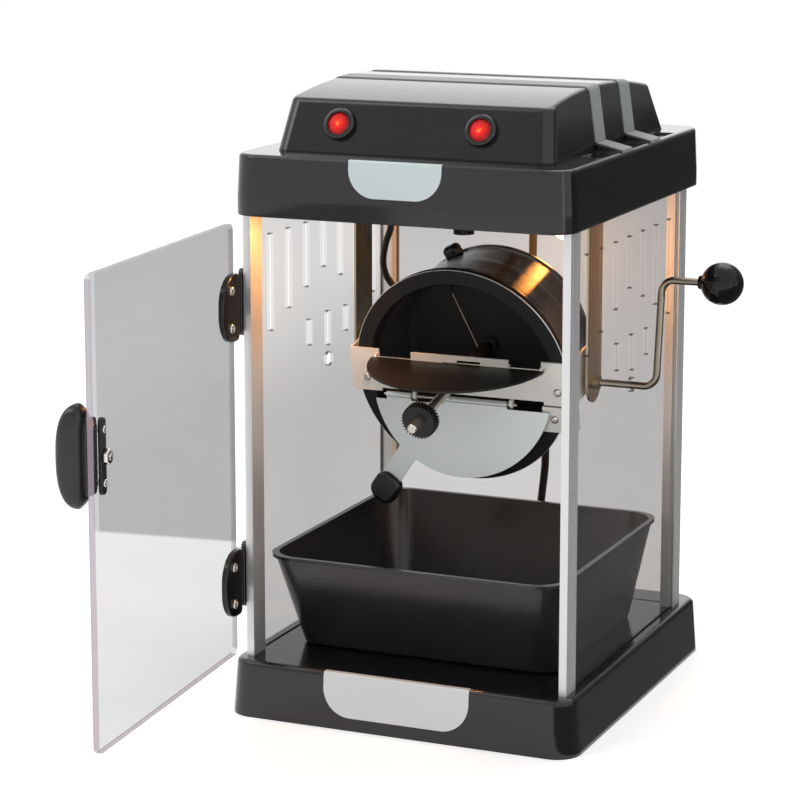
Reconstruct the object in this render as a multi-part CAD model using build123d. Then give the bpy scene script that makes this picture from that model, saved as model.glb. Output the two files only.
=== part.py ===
from build123d import *
import os
from math import atan2, cos, degrees, pi, radians, sin, tan

# Table-top popcorn maker: a glazed cabin with a tipping kettle, a front door and a loose tray.
# Millimetres, +Z up, front towards -Y, origin in the middle of the base's underside.
# The rest pose is the serving pose: door open, kettle tipped forward, both kettle lids open.

# Driving dimensions of the cabinet
BASE_W = 259.0
BASE_D = 290.8
BASE_H = 40.0
BASE_DRAFT = 4.3
CORNER_R = 18.0
WALL = 3.0
CEILING_Z = 355.0
HEAD_W = 245.7
HEAD_D = 290.4
CREASE_Z = 367.0
LEDGE_Z = 397.0
HEAD_DRAFT = 3.0
POST_OUT_X = 119.5
FRONT_POST = (5.5, 18.0, -121.5)
REAR_POST = (10.0, 15.0, 109.0)
PANE_T = 2.6
PANE_X = 117.3
REAR_PANE_Y = 112.3
PANE_BITE = 2.0

# Lid of the head: foot, brow and crown in the side view, widths in the front view
LID_FOOT_Y = (-118.0, 120.0)
LID_BROW_Y = (-105.0, 100.0)
LID_BROW_Z = (432.5, 431.0)
LID_CROWN_Z = 440.5
LID_FOOT_X = 101.0
LID_TOP_X = 96.0
STRIPES = ((-32.0, -11.0), (29.0, 51.0))
STRIPE_T = 0.7
RIB_X = 119.5
RIB_EDGE = 0.8
RIB_RISE = 5.0
SWITCH_X = (-54.5, 48.5)
SWITCH_Z = 416.2
BEZEL_R = 11.2

# Kettle, written upright and then tipped about the trunnion line
TRUNNION_Y = 3.0
TRUNNION_Z = 228.5
TIP_ANGLE = 103.0
KETTLE_Y = 11.9
MOUTH_Z = 256.1
FLANGE_R = 80.3
MOUTH_R = 68.0
KETTLE_LENGTH = 84.0
REAR_R = 66.7
BRACKET_X = 83.0
ROD_R = 2.6
BRACKET_SCREWS = ((-73.0, -6.0), (73.0, -6.0), (69.5, -27.0))
ROD_HALF = 65.0
LID_ROD = (-60.0, 42.0)
FLAP_ROD_R = 1.3
FLAP_OPEN = 84.5
FLAP_PIVOT = (11.0, 3.6)
FLAP_R = 66.0
FLAP_CENTRE = 8.0
LID_OPEN = 13.0
LID_PIVOT = (-18.0, 2.6)
LID_R = 68.4
LID_CENTRE = -5.8
LID_ROLLS = ((-58.0, -39.0), (-13.5, 34.5))
TAB_START = (-36.0, -51.0)
TAB_END = (-58.0, -84.0)
TAB_WIDTH = 15.0
GEAR_R = 12.6
GEAR_TEETH = 34
GEAR_H = 72.0
PINION_R = 7.6
PINION_TEETH = 20
PINION_Z = 325.0
PINION_X = -18.0
PINION_Y = KETTLE_Y + 10.4
HANGER_X = 88.3
CRANK_X = 135.5
KNOB_X = 179.0
KNOB_Y = 13.0
KNOB_Z = 303.2
KNOB_R = 15.0

# Door, written closed and then swung open
DOOR_PIVOT = (-123.0, -133.5)
DOOR_OPEN = 85.6
DOOR_Y = (-135.5, -131.5)
DOOR_X = (-112.0, 114.8)
DOOR_Z = (45.2, 349.5)
HINGE_Z = (98.0, 292.0)
LEAF_X = -85.0
LEAF_SCREW_X = -98.0
HANDLE_X = 109.5
PLATE_X = 104.4
HANDLE_Z = 235.0
HANDLE_WIDTH = 20.0
HANDLE_GAP = 2.8
HANDLE_FOOT = 24.5
HANDLE_BOW = [(33.5, 8.0), (27.9, 15.6), (20.9, 19.4), (12.0, 21.5), (0.0, 22.1)]

# Tray
TRAY_RIM = (218.0, 220.0, -12.0, 112.0)
TRAY_FOOT = (196.0, 167.0, -8.5, 40.6)
TRAY_WALL = 2.4

# Leads
MAINS_D = 6.0
COIL_GAP = 0.5
COIL_R = 38.0
COIL_AT = (-46.0, 206.0)
COIL_Z = 4.2
COIL_TAIL = 24.0
MAINS_ROUTE = [
    (-5.0, 130.0, 328.0), (-5.0, 130.0, 305.0), (-6.6, 132.0, 262.0), (-4.0, 134.6, 219.0),
    (0.6, 138.0, 176.0), (3.0, 142.2, 138.0), (-2.6, 146.6, 102.0), (-7.4, 149.6, 64.0),
    (-8.4, 151.4, 34.0), (-8.6, 162.0, 15.0), (-8.0, 180.6, 4.2), (-8.0, 200.0, 4.2),
]
KETTLE_LEAD_D = 5.0
KETTLE_LEAD_ROUTE = [
    (-75.0, 25.0, 344.0), (-75.0, 25.0, 329.0), (-84.0, 29.5, 311.0), (-89.0, 37.5, 292.0),
    (-85.0, 50.0, 276.0), (-76.0, 66.0, 270.0), (-64.5, 82.5, 272.5), (-48.5, 89.0, 280.0),
    (-36.5, 80.0, 285.9), (-36.0, 65.0, 282.7),
]


def block(x, y, z):
    """Box between two limits on each axis."""
    centre = [(a + b) / 2 for a, b in (x, y, z)]
    return Pos(*centre) * Box(x[1] - x[0], y[1] - y[0], z[1] - z[0])


def rod(start, end, radius):
    """Round bar from one point to another."""
    run = Vector(*end) - Vector(*start)
    lie = Plane(origin=start, z_dir=run)
    return lie * Cylinder(radius, run.length, align=(Align.CENTER, Align.CENTER, Align.MIN))


def cone(start, end, first, last):
    """Tapered round bar from one point to another."""
    run = Vector(*end) - Vector(*start)
    lie = Plane(origin=start, z_dir=run)
    return lie * Cone(first, last, run.length, align=(Align.CENTER, Align.CENTER, Align.MIN))


def group(shapes):
    """Separate solids that share one node."""
    return Compound([solid for shape in shapes for solid in shape.solids()])


def tip(shape):
    """Carry an upright kettle piece to the serving pose."""
    return shape.rotate(Axis((0, TRUNNION_Y, TRUNNION_Z), (1, 0, 0)), TIP_ANGLE)


def swing(shape):
    """Carry a closed door piece to the open pose."""
    return shape.rotate(Axis((*DOOR_PIVOT, 0), (0, 0, 1)), -DOOR_OPEN)


def at_kettle(x, y, h):
    """Point of the upright kettle: across, forward-back from its axis, height over its mouth."""
    return (x, KETTLE_Y + y, MOUTH_Z + h)


def kettle_disc(r, h0, h1):
    """Upright disc about the kettle's axis."""
    return rod(at_kettle(0, 0, h0), at_kettle(0, 0, h1), r)


def kettle_block(x, y, h):
    """Upright box in kettle measures."""
    return block(x, [KETTLE_Y + v for v in y], [MOUTH_Z + v for v in h])


def gear(radius, depth, teeth, bore, thick):
    """Spur wheel with straight-sided teeth, lying on the XY plane."""
    pitch = 2 * pi / teeth
    points = []
    for k in range(teeth):
        for share, r in ((-0.30, radius - depth), (-0.14, radius), (0.14, radius), (0.30, radius - depth)):
            angle = (k + share) * pitch
            points.append((r * cos(angle), r * sin(angle)))
    wheel = make_face(Polyline(*points, close=True)) - Circle(bore)
    return extrude(wheel, thick)


# Base

def base_block(grow):
    """Outer form of the base tub, swollen by grow: drafted sides and a rounded top edge."""
    plan = RectangleRounded(BASE_W + 2 * grow, BASE_D + 2 * grow, CORNER_R + grow)
    tub = extrude(plan, BASE_H + grow, taper=BASE_DRAFT)
    return fillet(tub.faces().sort_by(Axis.Z)[-1].edges(), 4)


def base_shell():
    hollow = extrude(RectangleRounded(BASE_W - 2 * WALL, BASE_D - 2 * WALL, CORNER_R - WALL),
                     BASE_H - WALL, taper=BASE_DRAFT)
    holes = [rod((x, y, BASE_H - WALL - 1), (x, y, BASE_H + 1), 1.8) for x, y in post_feet()]
    return base_block(0) - hollow - holes


def post_feet():
    """Plan positions of the four post screws."""
    front_x = POST_OUT_X - FRONT_POST[0] / 2
    rear_x = POST_OUT_X - REAR_POST[0] / 2
    return [(s * x, y) for x, y in ((front_x, FRONT_POST[2]), (rear_x, REAR_POST[2])) for s in (-1, 1)]


def badge(outline, outer, grown):
    """Thin plate that follows a drafted front face inside an outline drawn in the front view."""
    slab = Pos(0, -BASE_D / 2 - 10, 0) * extrude(Plane.XZ * outline, -40)
    return (grown & slab) - outer


def badge_outline(half, top, bottom, radius):
    """Front-view outline: straight sides, large lower corner arcs."""
    a, b, c = (-half, top), (-half, bottom + radius), (-half + radius, bottom)
    k = radius * (1 - cos(pi / 4))
    left = ThreePointArc(b, (-half + k, bottom + k), c)
    right = ThreePointArc((half - radius, bottom), (half - k, bottom + k), (half, bottom + radius))
    edges = [Line(a, b), left, Line(c, (half - radius, bottom)), right,
             Line((half, bottom + radius), (half, top)), Line((half, top), a)]
    return make_face(edges)


def post(size, side):
    """One grooved aluminium post; side is -1 or 1 for left or right."""
    width, depth, y = size
    x = side * (POST_OUT_X - width / 2)
    bar = block((x - width / 2, x + width / 2), (y - depth / 2, y + depth / 2), (BASE_H, CEILING_Z))
    outer = x + side * width / 2
    cuts = [block((outer - 0.7, outer + 0.7), (y + s - 0.6, y + s + 0.6), (BASE_H, CEILING_Z))
            for s in (-depth / 4, depth / 4)]
    slot_y = y - depth / 2 if y > 0 else y + depth / 2
    cuts.append(block((side * PANE_X - 1.4, side * PANE_X + 1.4), (slot_y - 2.2, slot_y + 2.2),
                      (BASE_H, CEILING_Z)))
    if y > 0:
        inner = x - side * width / 2
        cuts.append(block((inner - 2.2, inner + 2.2), (REAR_PANE_Y - 1.4, REAR_PANE_Y + 1.4),
                          (BASE_H, CEILING_Z)))
    cuts += [rod((x, y, z), (x, y, z + 14), 1.5) for z in (BASE_H - 0.5, CEILING_Z - 13.5)]
    return bar - cuts


def pane_slots():
    """Slots of a side pane in its (y, z) plane: a row of seven, a short group and a round hole."""
    top = 336.0
    ends = (266.0, 277.5, 288.0, 298.4, 288.0, 277.5, 266.0)
    shapes = []
    for k, low in enumerate(ends):
        y = -5.0 + 29.3 * (k - 3)
        shapes.append(Pos(y, (top + low) / 2) * SlotOverall(top - low, 6.5, rotation=90))
    for y in (-30.0, 34.0):
        shapes.append(Pos(y, 254.5) * SlotOverall(20, 6, rotation=90))
    shapes.append(Pos(2, 252.2) * SlotOverall(26.5, 6.5, rotation=90))
    shapes.append(Pos(TRUNNION_Y, TRUNNION_Z + 0.5) * Circle(5.4))
    return shapes


def side_pane(side):
    y = (FRONT_POST[2] + FRONT_POST[1] / 2 - PANE_BITE, REAR_POST[2] - REAR_POST[1] / 2 + PANE_BITE)
    pane = block((side * PANE_X - PANE_T / 2, side * PANE_X + PANE_T / 2), y, (BASE_H, CEILING_Z))
    drill = [Pos(side * PANE_X - 5, 0, 0) * extrude(Plane.YZ * s, 10) for s in pane_slots()]
    return pane - drill


def rear_pane():
    x = POST_OUT_X - REAR_POST[0] + PANE_BITE
    return block((-x, x), (REAR_PANE_Y - PANE_T / 2, REAR_PANE_Y + PANE_T / 2), (BASE_H, CEILING_Z))


# Head

def head_block(grow):
    """Outer form of the head frame: an upright lower band and drafted sides over a crease."""
    plan = RectangleRounded(HEAD_W + 2 * grow, HEAD_D + 2 * grow, CORNER_R + grow)
    band = Pos(0, 0, CEILING_Z) * extrude(plan, CREASE_Z - CEILING_Z)
    top = Pos(0, 0, CREASE_Z) * extrude(plan, LEDGE_Z - CREASE_Z + grow, taper=HEAD_DRAFT)
    return fillet((band + top).faces().sort_by(Axis.Z)[-1].edges(), 2.5)


def head_ribs():
    """Raised ribs that carry each stripe over the side ledges, and the slope up to the lid's foot."""
    ribs = []
    for y0, y1 in STRIPES:
        foot = LID_FOOT_X + 0.3
        profile = make_face(Polyline((foot, LEDGE_Z - 1), (RIB_X, LEDGE_Z - 1), (RIB_X, LEDGE_Z + RIB_EDGE),
                                     (foot, LEDGE_Z + RIB_RISE), close=True))
        ribs.append(Pos(0, y1, 0) * extrude(Plane.XZ * profile, y1 - y0))
    return ribs


def head_frame():
    hollow = Pos(0, 0, CEILING_Z) * extrude(
        RectangleRounded(HEAD_W - 2 * WALL, HEAD_D - 2 * WALL, CORNER_R - WALL), LEDGE_Z - CEILING_Z - WALL,
        taper=2.2)
    window = block((-90, 90), (-105, 105), (LEDGE_Z - 10, LEDGE_Z + 10))
    wells = [block((s * 110 - 7, s * 110 + 7), y, (LEDGE_Z - 1.6, LEDGE_Z + 2))
             for s in (-1, 1) for y in ((-8, 26), (-66, -35), (54, 92))]
    frame = head_block(0) - hollow - window - wells
    for rib in head_ribs():
        frame = frame + rib + mirror(rib, about=Plane.YZ)
    return frame


def lid_block(grow):
    """Outer form of the lid: crowned in the side view, drafted in the front view, swollen by grow."""
    foot = LEDGE_Z
    front, rear = LID_FOOT_Y[0] - grow, LID_FOOT_Y[1] + grow
    brow_f = (LID_BROW_Y[0] - grow, LID_BROW_Z[0] + grow)
    brow_r = (LID_BROW_Y[1] + grow, LID_BROW_Z[1] + grow)
    crown = ThreePointArc(brow_f, (5, LID_CROWN_Z + grow), brow_r)
    side = make_face([Line((front, foot), brow_f), crown, Line(brow_r, (rear, foot)),
                      Line((rear, foot), (front, foot))])
    profile = extrude(Plane.YZ * side, LID_FOOT_X + 20, both=True)
    top = LID_CROWN_Z + 10
    slope = (LID_FOOT_X - LID_TOP_X) / (LID_BROW_Z[0] - foot)
    half_top = LID_FOOT_X + grow - slope * (top - foot)
    half_foot = LID_FOOT_X + grow
    trapezium = make_face(Polyline((-half_foot, foot), (half_foot, foot), (half_top, top), (-half_top, top),
                                   close=True))
    return profile & extrude(Plane.XZ * trapezium, LID_FOOT_Y[1] + 30, both=True)


def round_lid(solid, corner, edge):
    """Round the four upright corners, then the edge round the crown."""
    upright = [e for e in solid.edges() if e.bounding_box().size.Z > 25]
    solid = fillet(upright, corner)
    top = [e for e in solid.edges() if e.center().Z > LID_BROW_Z[1] - 6 and e.bounding_box().min.Z > 420]
    return fillet(top, edge)


def switch_place():
    """Place on the sloping brow: outward normal of the front face and the switch's centre line."""
    run_y = LID_BROW_Y[0] - LID_FOOT_Y[0]
    run_z = LID_BROW_Z[0] - LEDGE_Z
    normal = Vector(0, -run_z, run_y).normalized()
    y = LID_FOOT_Y[0] + run_y * (SWITCH_Z - LEDGE_Z) / run_z
    return normal, y


def switch_rod(x, start, end, radius):
    """Round bar along a switch's centre line, measured outwards from the brow."""
    normal, y = switch_place()
    middle = Vector(x, y, SWITCH_Z)
    return rod(tuple(middle + normal * start), tuple(middle + normal * end), radius)


def head_lid():
    outer = round_lid(lid_block(0), 9, 4)
    inner = lid_block(-WALL)
    holes = [switch_rod(x, -12, 12, 10.2) for x in SWITCH_X]
    return outer - inner - holes


def rib_cap(y0, y1):
    """Silver strip over one rib and down the frame's edge."""
    foot, tip_x = LID_FOOT_X + 0.4, RIB_X + STRIPE_T
    top = [(foot, LEDGE_Z + RIB_RISE), (RIB_X, LEDGE_Z + RIB_EDGE), (RIB_X, LEDGE_Z - 4.5),
           (tip_x, LEDGE_Z - 4.5),
           (tip_x, LEDGE_Z + RIB_EDGE + STRIPE_T), (foot, LEDGE_Z + RIB_RISE + STRIPE_T)]
    return Pos(0, y1, 0) * extrude(Plane.XZ * make_face(Polyline(*top, close=True)), y1 - y0)


def head_stripes():
    """Silver bands laid over the lid and the ribs, as separate thin solids."""
    outer = round_lid(lid_block(0), 9, 4)
    grown = round_lid(lid_block(STRIPE_T), 9 + STRIPE_T, 4 + STRIPE_T)
    bands = []
    for y0, y1 in STRIPES:
        slab = block((-130, 130), (y0 + 0.5, y1 - 0.5), (LEDGE_Z + RIB_RISE + STRIPE_T, 460))
        bands += ((grown & slab) - outer).solids()
        cap = rib_cap(y0 + 0.5, y1 - 0.5)
        bands += [cap, mirror(cap, about=Plane.YZ)]
    clear = head_frame()
    return group([solid for band in bands for solid in (band - clear).solids()])


def ceiling_plate():
    plate = Pos(0, 0, CEILING_Z) * extrude(
        RectangleRounded(HEAD_W - 2 * WALL - 0.4, HEAD_D - 2 * WALL - 0.4, CORNER_R - WALL), 2.0)
    holes = [rod((x, y, CEILING_Z - 1), (x, y, CEILING_Z + 4), 1.8) for x, y in post_feet()]
    holes.append(rod((PINION_X, PINION_Y, CEILING_Z - 1), (PINION_X, PINION_Y, CEILING_Z + 4), 4.2))
    return plate - holes


def post_screws():
    """Pan-head screws that hold the posts from inside the base and the head."""
    screws = []
    for x, y in post_feet():
        under = BASE_H - WALL
        screws.append(rod((x, y, under - 2), (x, y, under), 2.7)
                      + rod((x, y, under), (x, y, BASE_H + 12), 1.4))
        over = CEILING_Z + 2
        screws.append(rod((x, y, over), (x, y, over + 2), 2.7)
                      + rod((x, y, over), (x, y, CEILING_Z - 12), 1.4))
    return screws


def base_cover():
    inset = WALL + 0.5
    outline = RectangleRounded(BASE_W - 2 * inset, BASE_D - 2 * inset, CORNER_R - inset)
    plate = Pos(0, 0, 1.0) * extrude(outline, 2.0, taper=BASE_DRAFT)
    vents = [Pos(0, y, 0) * extrude(SlotOverall(90, 4), 6) for y in (-24, -12, 0, 12, 24)]
    return plate - vents


def rubber_feet():
    return group([rod((sx * 100, sy * 116, 0), (sx * 100, sy * 116, 1), 9)
                  for sx in (-1, 1) for sy in (-1, 1)])


# Switches, lamp and stirrer drive

def switch_bezels():
    rings = []
    for x in SWITCH_X:
        ring = switch_rod(x, 0, 4.5, BEZEL_R) + switch_rod(x, -20, 0, 10)
        ring = fillet(ring.edges().group_by(Axis(ring.center(), switch_place()[0]))[-1], 2)
        rings.append(ring - switch_rod(x, -16, 6, 7.8))
    return group(rings)


def switch_button(x):
    """Domed push button that slides in its bezel."""
    stem = switch_rod(x, -8, 5.6, 7.5)
    normal = switch_place()[0]
    return fillet(stem.edges().group_by(Axis(stem.center(), normal))[-1], 2.5)


def stir_motor():
    """Geared motor on top of the ceiling plate, with the shaft's bearing bore."""
    low = CEILING_Z + 2
    can = rod((PINION_X, PINION_Y, low + 6), (PINION_X, PINION_Y, low + 30), 19)
    flange = block((PINION_X - 26, PINION_X + 26), (PINION_Y - 14, PINION_Y + 14), (low, low + 6))
    bore = rod((PINION_X, PINION_Y, low - 1), (PINION_X, PINION_Y, low + 14), 2.56)
    return can + flange - bore


def drive_pinion():
    wheel = Pos(PINION_X, PINION_Y, PINION_Z) * gear(PINION_R, 1.2, PINION_TEETH, 2.5, 12)
    hub = rod((PINION_X, PINION_Y, PINION_Z + 12), (PINION_X, PINION_Y, CEILING_Z - 3), 5)
    return wheel + hub - rod((PINION_X, PINION_Y, PINION_Z - 1), (PINION_X, PINION_Y, CEILING_Z), 2.5)


def motor_shaft():
    return rod((PINION_X, PINION_Y, PINION_Z), (PINION_X, PINION_Y, CEILING_Z + 14), 2.5)


LAMP_AT = (44.0, 68.0)


def lamp_holder():
    cup = cone((*LAMP_AT, CEILING_Z), (*LAMP_AT, CEILING_Z - 14), 14, 11)
    return cup - rod((*LAMP_AT, CEILING_Z - 8), (*LAMP_AT, CEILING_Z - 15), 7)


def lamp_bulb():
    cap = rod((*LAMP_AT, CEILING_Z - 8), (*LAMP_AT, CEILING_Z - 18), 6.9)
    return cap + Pos(*LAMP_AT, CEILING_Z - 26) * Sphere(11)


# Kettle hangers and their bushes

def hanger(side):
    """Flat steel strap from the ceiling to the trunnion, with a foot turned outwards."""
    x = sorted((side * HANGER_X, side * (HANGER_X + 1.5)))
    strap = block(x, (-11.5, 17.5), (TRUNNION_Z, CEILING_Z))
    end = rod((x[0], TRUNNION_Y, TRUNNION_Z), (x[1], TRUNNION_Y, TRUNNION_Z), 14.5)
    across = sorted((side * HANGER_X, side * (HANGER_X + 14)))
    foot = block(across, (-11.5, 17.5), (CEILING_Z - 1.5, CEILING_Z))
    hole = rod((x[0] - 1, TRUNNION_Y, TRUNNION_Z), (x[1] + 1, TRUNNION_Y, TRUNNION_Z), 5.1)
    screws = [rod((side * (HANGER_X + 8), y, CEILING_Z - 3), (side * (HANGER_X + 8), y, CEILING_Z + 1), 1.8)
              for y in (-5, 11)]
    return strap + end + foot - hole - screws


def hanger_screws():
    heads = []
    for side in (-1, 1):
        for y in (-5, 11):
            x = side * (HANGER_X + 8)
            heads.append(rod((x, y, CEILING_Z - 3.3), (x, y, CEILING_Z - 1.5), 3.2)
                         + rod((x, y, CEILING_Z - 1.5), (x, y, CEILING_Z), 1.6))
    return heads


def hanger_bush(side):
    """Flanged bush pressed through the strap."""
    near, far = side * (HANGER_X - 0.9), side * (HANGER_X + 5.5)
    line = lambda x: (x, TRUNNION_Y, TRUNNION_Z)
    body = rod(line(side * HANGER_X), line(far), 5.0) + rod(line(near), line(side * HANGER_X), 7.5)
    return body - rod(line(near - side), line(far + side), ROD_R + 0.06)


# Kettle, upright

def kettle_bowl():
    """Spun cooking pot: rolled flange, mouth and a flat floor."""
    wall = 1.6
    floor = -60.0
    outer = [(0, floor - wall), (60, floor - wall), (65, floor + 4), (MOUTH_R + wall, -4),
             (MOUTH_R + wall + 3, -1.8),
             (FLANGE_R - 1.6, -1.8), (FLANGE_R - 1.6, -6), (FLANGE_R, -6), (FLANGE_R, 0), (MOUTH_R + 2, 0),
             (MOUTH_R, -3), (63.2, floor + 5), (59, floor), (0, floor)]
    face = make_face(Polyline(*outer, close=True))
    pot = revolve(Plane.XZ * face, Axis.Z)
    pivot = rod((0, 0, floor), (0, 0, floor + 6), 6) - rod((0, 0, floor + 1), (0, 0, floor + 7), 3.56)
    return Pos(*at_kettle(0, 0, 0)) * (pot + pivot)


def kettle_jacket():
    """Outer drum that hides the heater."""
    low = -KETTLE_LENGTH + 3
    face = make_face(Polyline((REAR_R - 1.2, low), (REAR_R, low), (75.5, -9), (FLANGE_R - 2.2, -6.4),
                              (FLANGE_R - 2.2, -2.2), (FLANGE_R - 3.4, -2.2), (FLANGE_R - 3.4, -5.8),
                              (74.3, -8), close=True))
    return Pos(*at_kettle(0, 0, 0)) * revolve(Plane.XZ * face, Axis.Z)


def kettle_rear_cover():
    low = -KETTLE_LENGTH
    face = make_face(Polyline((0, low), (REAR_R - 1, low), (REAR_R + 1.5, low + 1.6),
                              (REAR_R + 1.5, low + 2.8),
                              (REAR_R - 2, low + 2.8), (REAR_R - 2, low + 1.6), (0, low + 1.6), close=True))
    cover = Pos(*at_kettle(0, 0, 0)) * revolve(Plane.XZ * face, Axis.Z)
    x, y = GLAND_AT
    return cover - rod(at_kettle(x, y, low - 1), at_kettle(x, y, low + 3), 5.2)


GLAND_AT = (-36.0, 30.0)


def kettle_gland():
    """Tapered sleeve where the kettle's lead goes through the rear cover."""
    x, y = GLAND_AT
    low = -KETTLE_LENGTH
    sleeve = cone(at_kettle(x, y, low), at_kettle(x, y, low - 15.6), 7, 4.2)
    return sleeve + rod(at_kettle(x, y, low + 4), at_kettle(x, y, low), 5)


def thermostat_cap():
    """Small black housing on the drum's back edge, over the thermostat."""
    pad = fillet(kettle_block((-6.5, 6.5), (60, 75.5), (-83, -72)).edges(), 4)
    return pad.rotate(Axis(at_kettle(0, 0, 0), (0, 0, 1)), 27) - kettle_drum() - kettle_rear_cover()


def kettle_drum():
    """Solid inside the jacket's outer surface, for trimming what sits on it."""
    low = -KETTLE_LENGTH
    face = make_face(Polyline((0, low), (REAR_R, low + 3), (75.5, -9), (0, -9), close=True))
    return Pos(*at_kettle(0, 0, 0)) * revolve(Plane.XZ * face, Axis.Z)


def heater_ring():
    """Sheathed element clamped under the pot, open between its two cold ends."""
    ring = revolve(Plane.XZ * (Pos(46, -66.5) * Circle(4)), Axis.Z, revolution_arc=320)
    return Pos(*at_kettle(0, 0, 0)) * ring


def thermostat():
    return kettle_disc(9, -70, -61.6) + kettle_block((-3, 3), (-12, 12), (-72, -70))


def crossbar():
    """Folded steel bar over the mouth, with front-facing end brackets, rod lugs and the shaft's hole."""
    front = (0.2, 1.7)
    bar = kettle_block((-BRACKET_X - 1.5, BRACKET_X + 1.5), (-14, 6), front)
    end = kettle_block((BRACKET_X, BRACKET_X + 1.5), (-16.5, 16.3), (-40, 1.7))
    plate = kettle_block((62, BRACKET_X + 1.5), (-16.5, 16.3), front)
    y, h = FLAP_PIVOT
    lug = (ROD_HALF - 2.5, ROD_HALF - 1)
    stem = kettle_block(lug, (y - 2.7, y + 2.7), (1.7, h))
    eye = rod(at_kettle(lug[0], y, h), at_kettle(lug[1], y, h), 2.7)
    frame = bar
    for piece in (end, plate, stem + eye):
        frame = frame + piece + mirror(piece, about=Plane.YZ)
    low_plate = kettle_block((60.5, BRACKET_X + 1.5), (-37, -17.8), front)
    low_end = kettle_block((BRACKET_X, BRACKET_X + 1.5), (-37, -16.5), (-8, 1.7))
    frame = frame + low_plate + low_end
    y, h = LID_PIVOT
    for x in ((-37, -35), (37, 39)):
        eye = rod(at_kettle(x[0], y, h), at_kettle(x[1], y, h), 2.4)
        frame = frame + eye + kettle_block(x, (y, -14), (0.2, h + 2.4))
    return frame - [*hinge_rods(), *screw_holes(), kettle_disc(3.58, -1, 3), trunnion_line(2 * BRACKET_X + 8)]


def trunnion_line(length):
    """Solid of the trunnion rod's section, for holes."""
    return rod((-length / 2, TRUNNION_Y, TRUNNION_Z), (length / 2, TRUNNION_Y, TRUNNION_Z), ROD_R)


def screw_holes():
    return [rod(at_kettle(x, y, -1), at_kettle(x, y, 3), 1.8) for x, y in BRACKET_SCREWS]


def crossbar_screws():
    return group([rod(at_kettle(x, y, 1.7), at_kettle(x, y, 3.3), 3.0)
                  + rod(at_kettle(x, y, 0.0), at_kettle(x, y, 1.7), 1.6) for x, y in BRACKET_SCREWS])


def hinge_rods():
    """Round rods of the flap and of the lower lid."""
    flap_y, flap_h = FLAP_PIVOT
    lid_y, lid_h = LID_PIVOT
    return [rod(at_kettle(-ROD_HALF, flap_y, flap_h), at_kettle(ROD_HALF, flap_y, flap_h), FLAP_ROD_R),
            rod(at_kettle(LID_ROD[0], lid_y, lid_h), at_kettle(LID_ROD[1], lid_y, lid_h), 1.2)]


def lid_rods():
    """Hinge rods of the flap and of the lower lid, held in the crossbar's lugs."""
    return group(hinge_rods())


def trunnion_pin():
    """Left pivot, riveted to the bracket and turning in its bush."""
    line = lambda x: (x, TRUNNION_Y, TRUNNION_Z)
    pin = rod(line(-BRACKET_X + 1), line(-HANGER_X - 8), ROD_R)
    return pin + rod(line(-BRACKET_X), line(-BRACKET_X + 2.2), 5)


def crank_rod():
    """Chrome rod from the right bracket out through the pane, cranked up to the knob."""
    a = (BRACKET_X - 1, TRUNNION_Y, TRUNNION_Z)
    b = (CRANK_X, TRUNNION_Y, TRUNNION_Z)
    c = (CRANK_X, KNOB_Y, KNOB_Z)
    d = (KNOB_X - 13, KNOB_Y, KNOB_Z)
    path = FilletPolyline(a, b, c, d, radius=9)
    start = Plane(origin=a, z_dir=(1, 0, 0))
    bar = sweep(start * Circle(ROD_R), path=path)
    return bar + rod((BRACKET_X - 2.2, TRUNNION_Y, TRUNNION_Z), (BRACKET_X, TRUNNION_Y, TRUNNION_Z), 5)


def crank_knob():
    """Black ball knob with a short collar on the crank's end."""
    line = lambda x: (KNOB_X + x, KNOB_Y, KNOB_Z)
    ball = Pos(*line(0)) * Sphere(KNOB_R)
    collar = cone(line(-16.5), line(-9), 4.6, 6.6)
    return ball + collar - rod(line(-21), line(-13), ROD_R)


def leaf_disc(side, edge, height, radius, centre):
    """Part of a disc beyond a straight edge; side 1 is the part at the back."""
    keep = kettle_block((-90, 90), (edge, 90) if side > 0 else (-90, edge), (height[0] - 1, height[1] + 1))
    return rod(at_kettle(0, centre, height[0]), at_kettle(0, centre, height[1]), radius) & keep


def barrel(pivot, spans, outer, bore):
    """Hinge barrels along X about a pivot line, one per span."""
    y, h = pivot
    rolls = [rod(at_kettle(a, y, h), at_kettle(b, y, h), outer) for a, b in spans]
    return rolls, rod(at_kettle(-70, y, h), at_kettle(70, y, h), bore)


def open_flap(shape):
    y, h = FLAP_PIVOT
    return shape.rotate(Axis(at_kettle(0, y, h), (1, 0, 0)), FLAP_OPEN)


def open_lid(shape):
    y, h = LID_PIVOT
    return shape.rotate(Axis(at_kettle(0, y, h), (1, 0, 0)), -LID_OPEN)


def upper_flap():
    """Dark glazed half lid; closed it lies over the back half of the mouth."""
    y, h = FLAP_PIVOT
    return leaf_disc(1, y + 3.2, (h - 0.8, h + 0.8), FLAP_R, FLAP_CENTRE)


def flap_sleeve():
    """Pale hinge strip on the flap's edge: rolled round the rod, with a stepped gap in the middle."""
    y, h = FLAP_PIVOT
    span, gap = (-35, 39), (-11.5, 18)
    rolls, bore = barrel(FLAP_PIVOT, ((span[0], gap[0]), (gap[1], span[1])), 2.4, FLAP_ROD_R + 0.06)
    strip = kettle_block(span, (y + 1.4, y + 3.2), (h - 6.4, h + 2.4))
    web = kettle_block(span, (y + 1.4, y + 9), (h + 0.8, h + 2.2))
    steps = [kettle_block(gap, (y, y + 10), (h - 1.4, h + 3)),
             kettle_block((0, gap[1]), (y, y + 3.2), (h - 3.4, h))]
    return strip + web + rolls - steps - bore - upper_flap()


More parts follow.
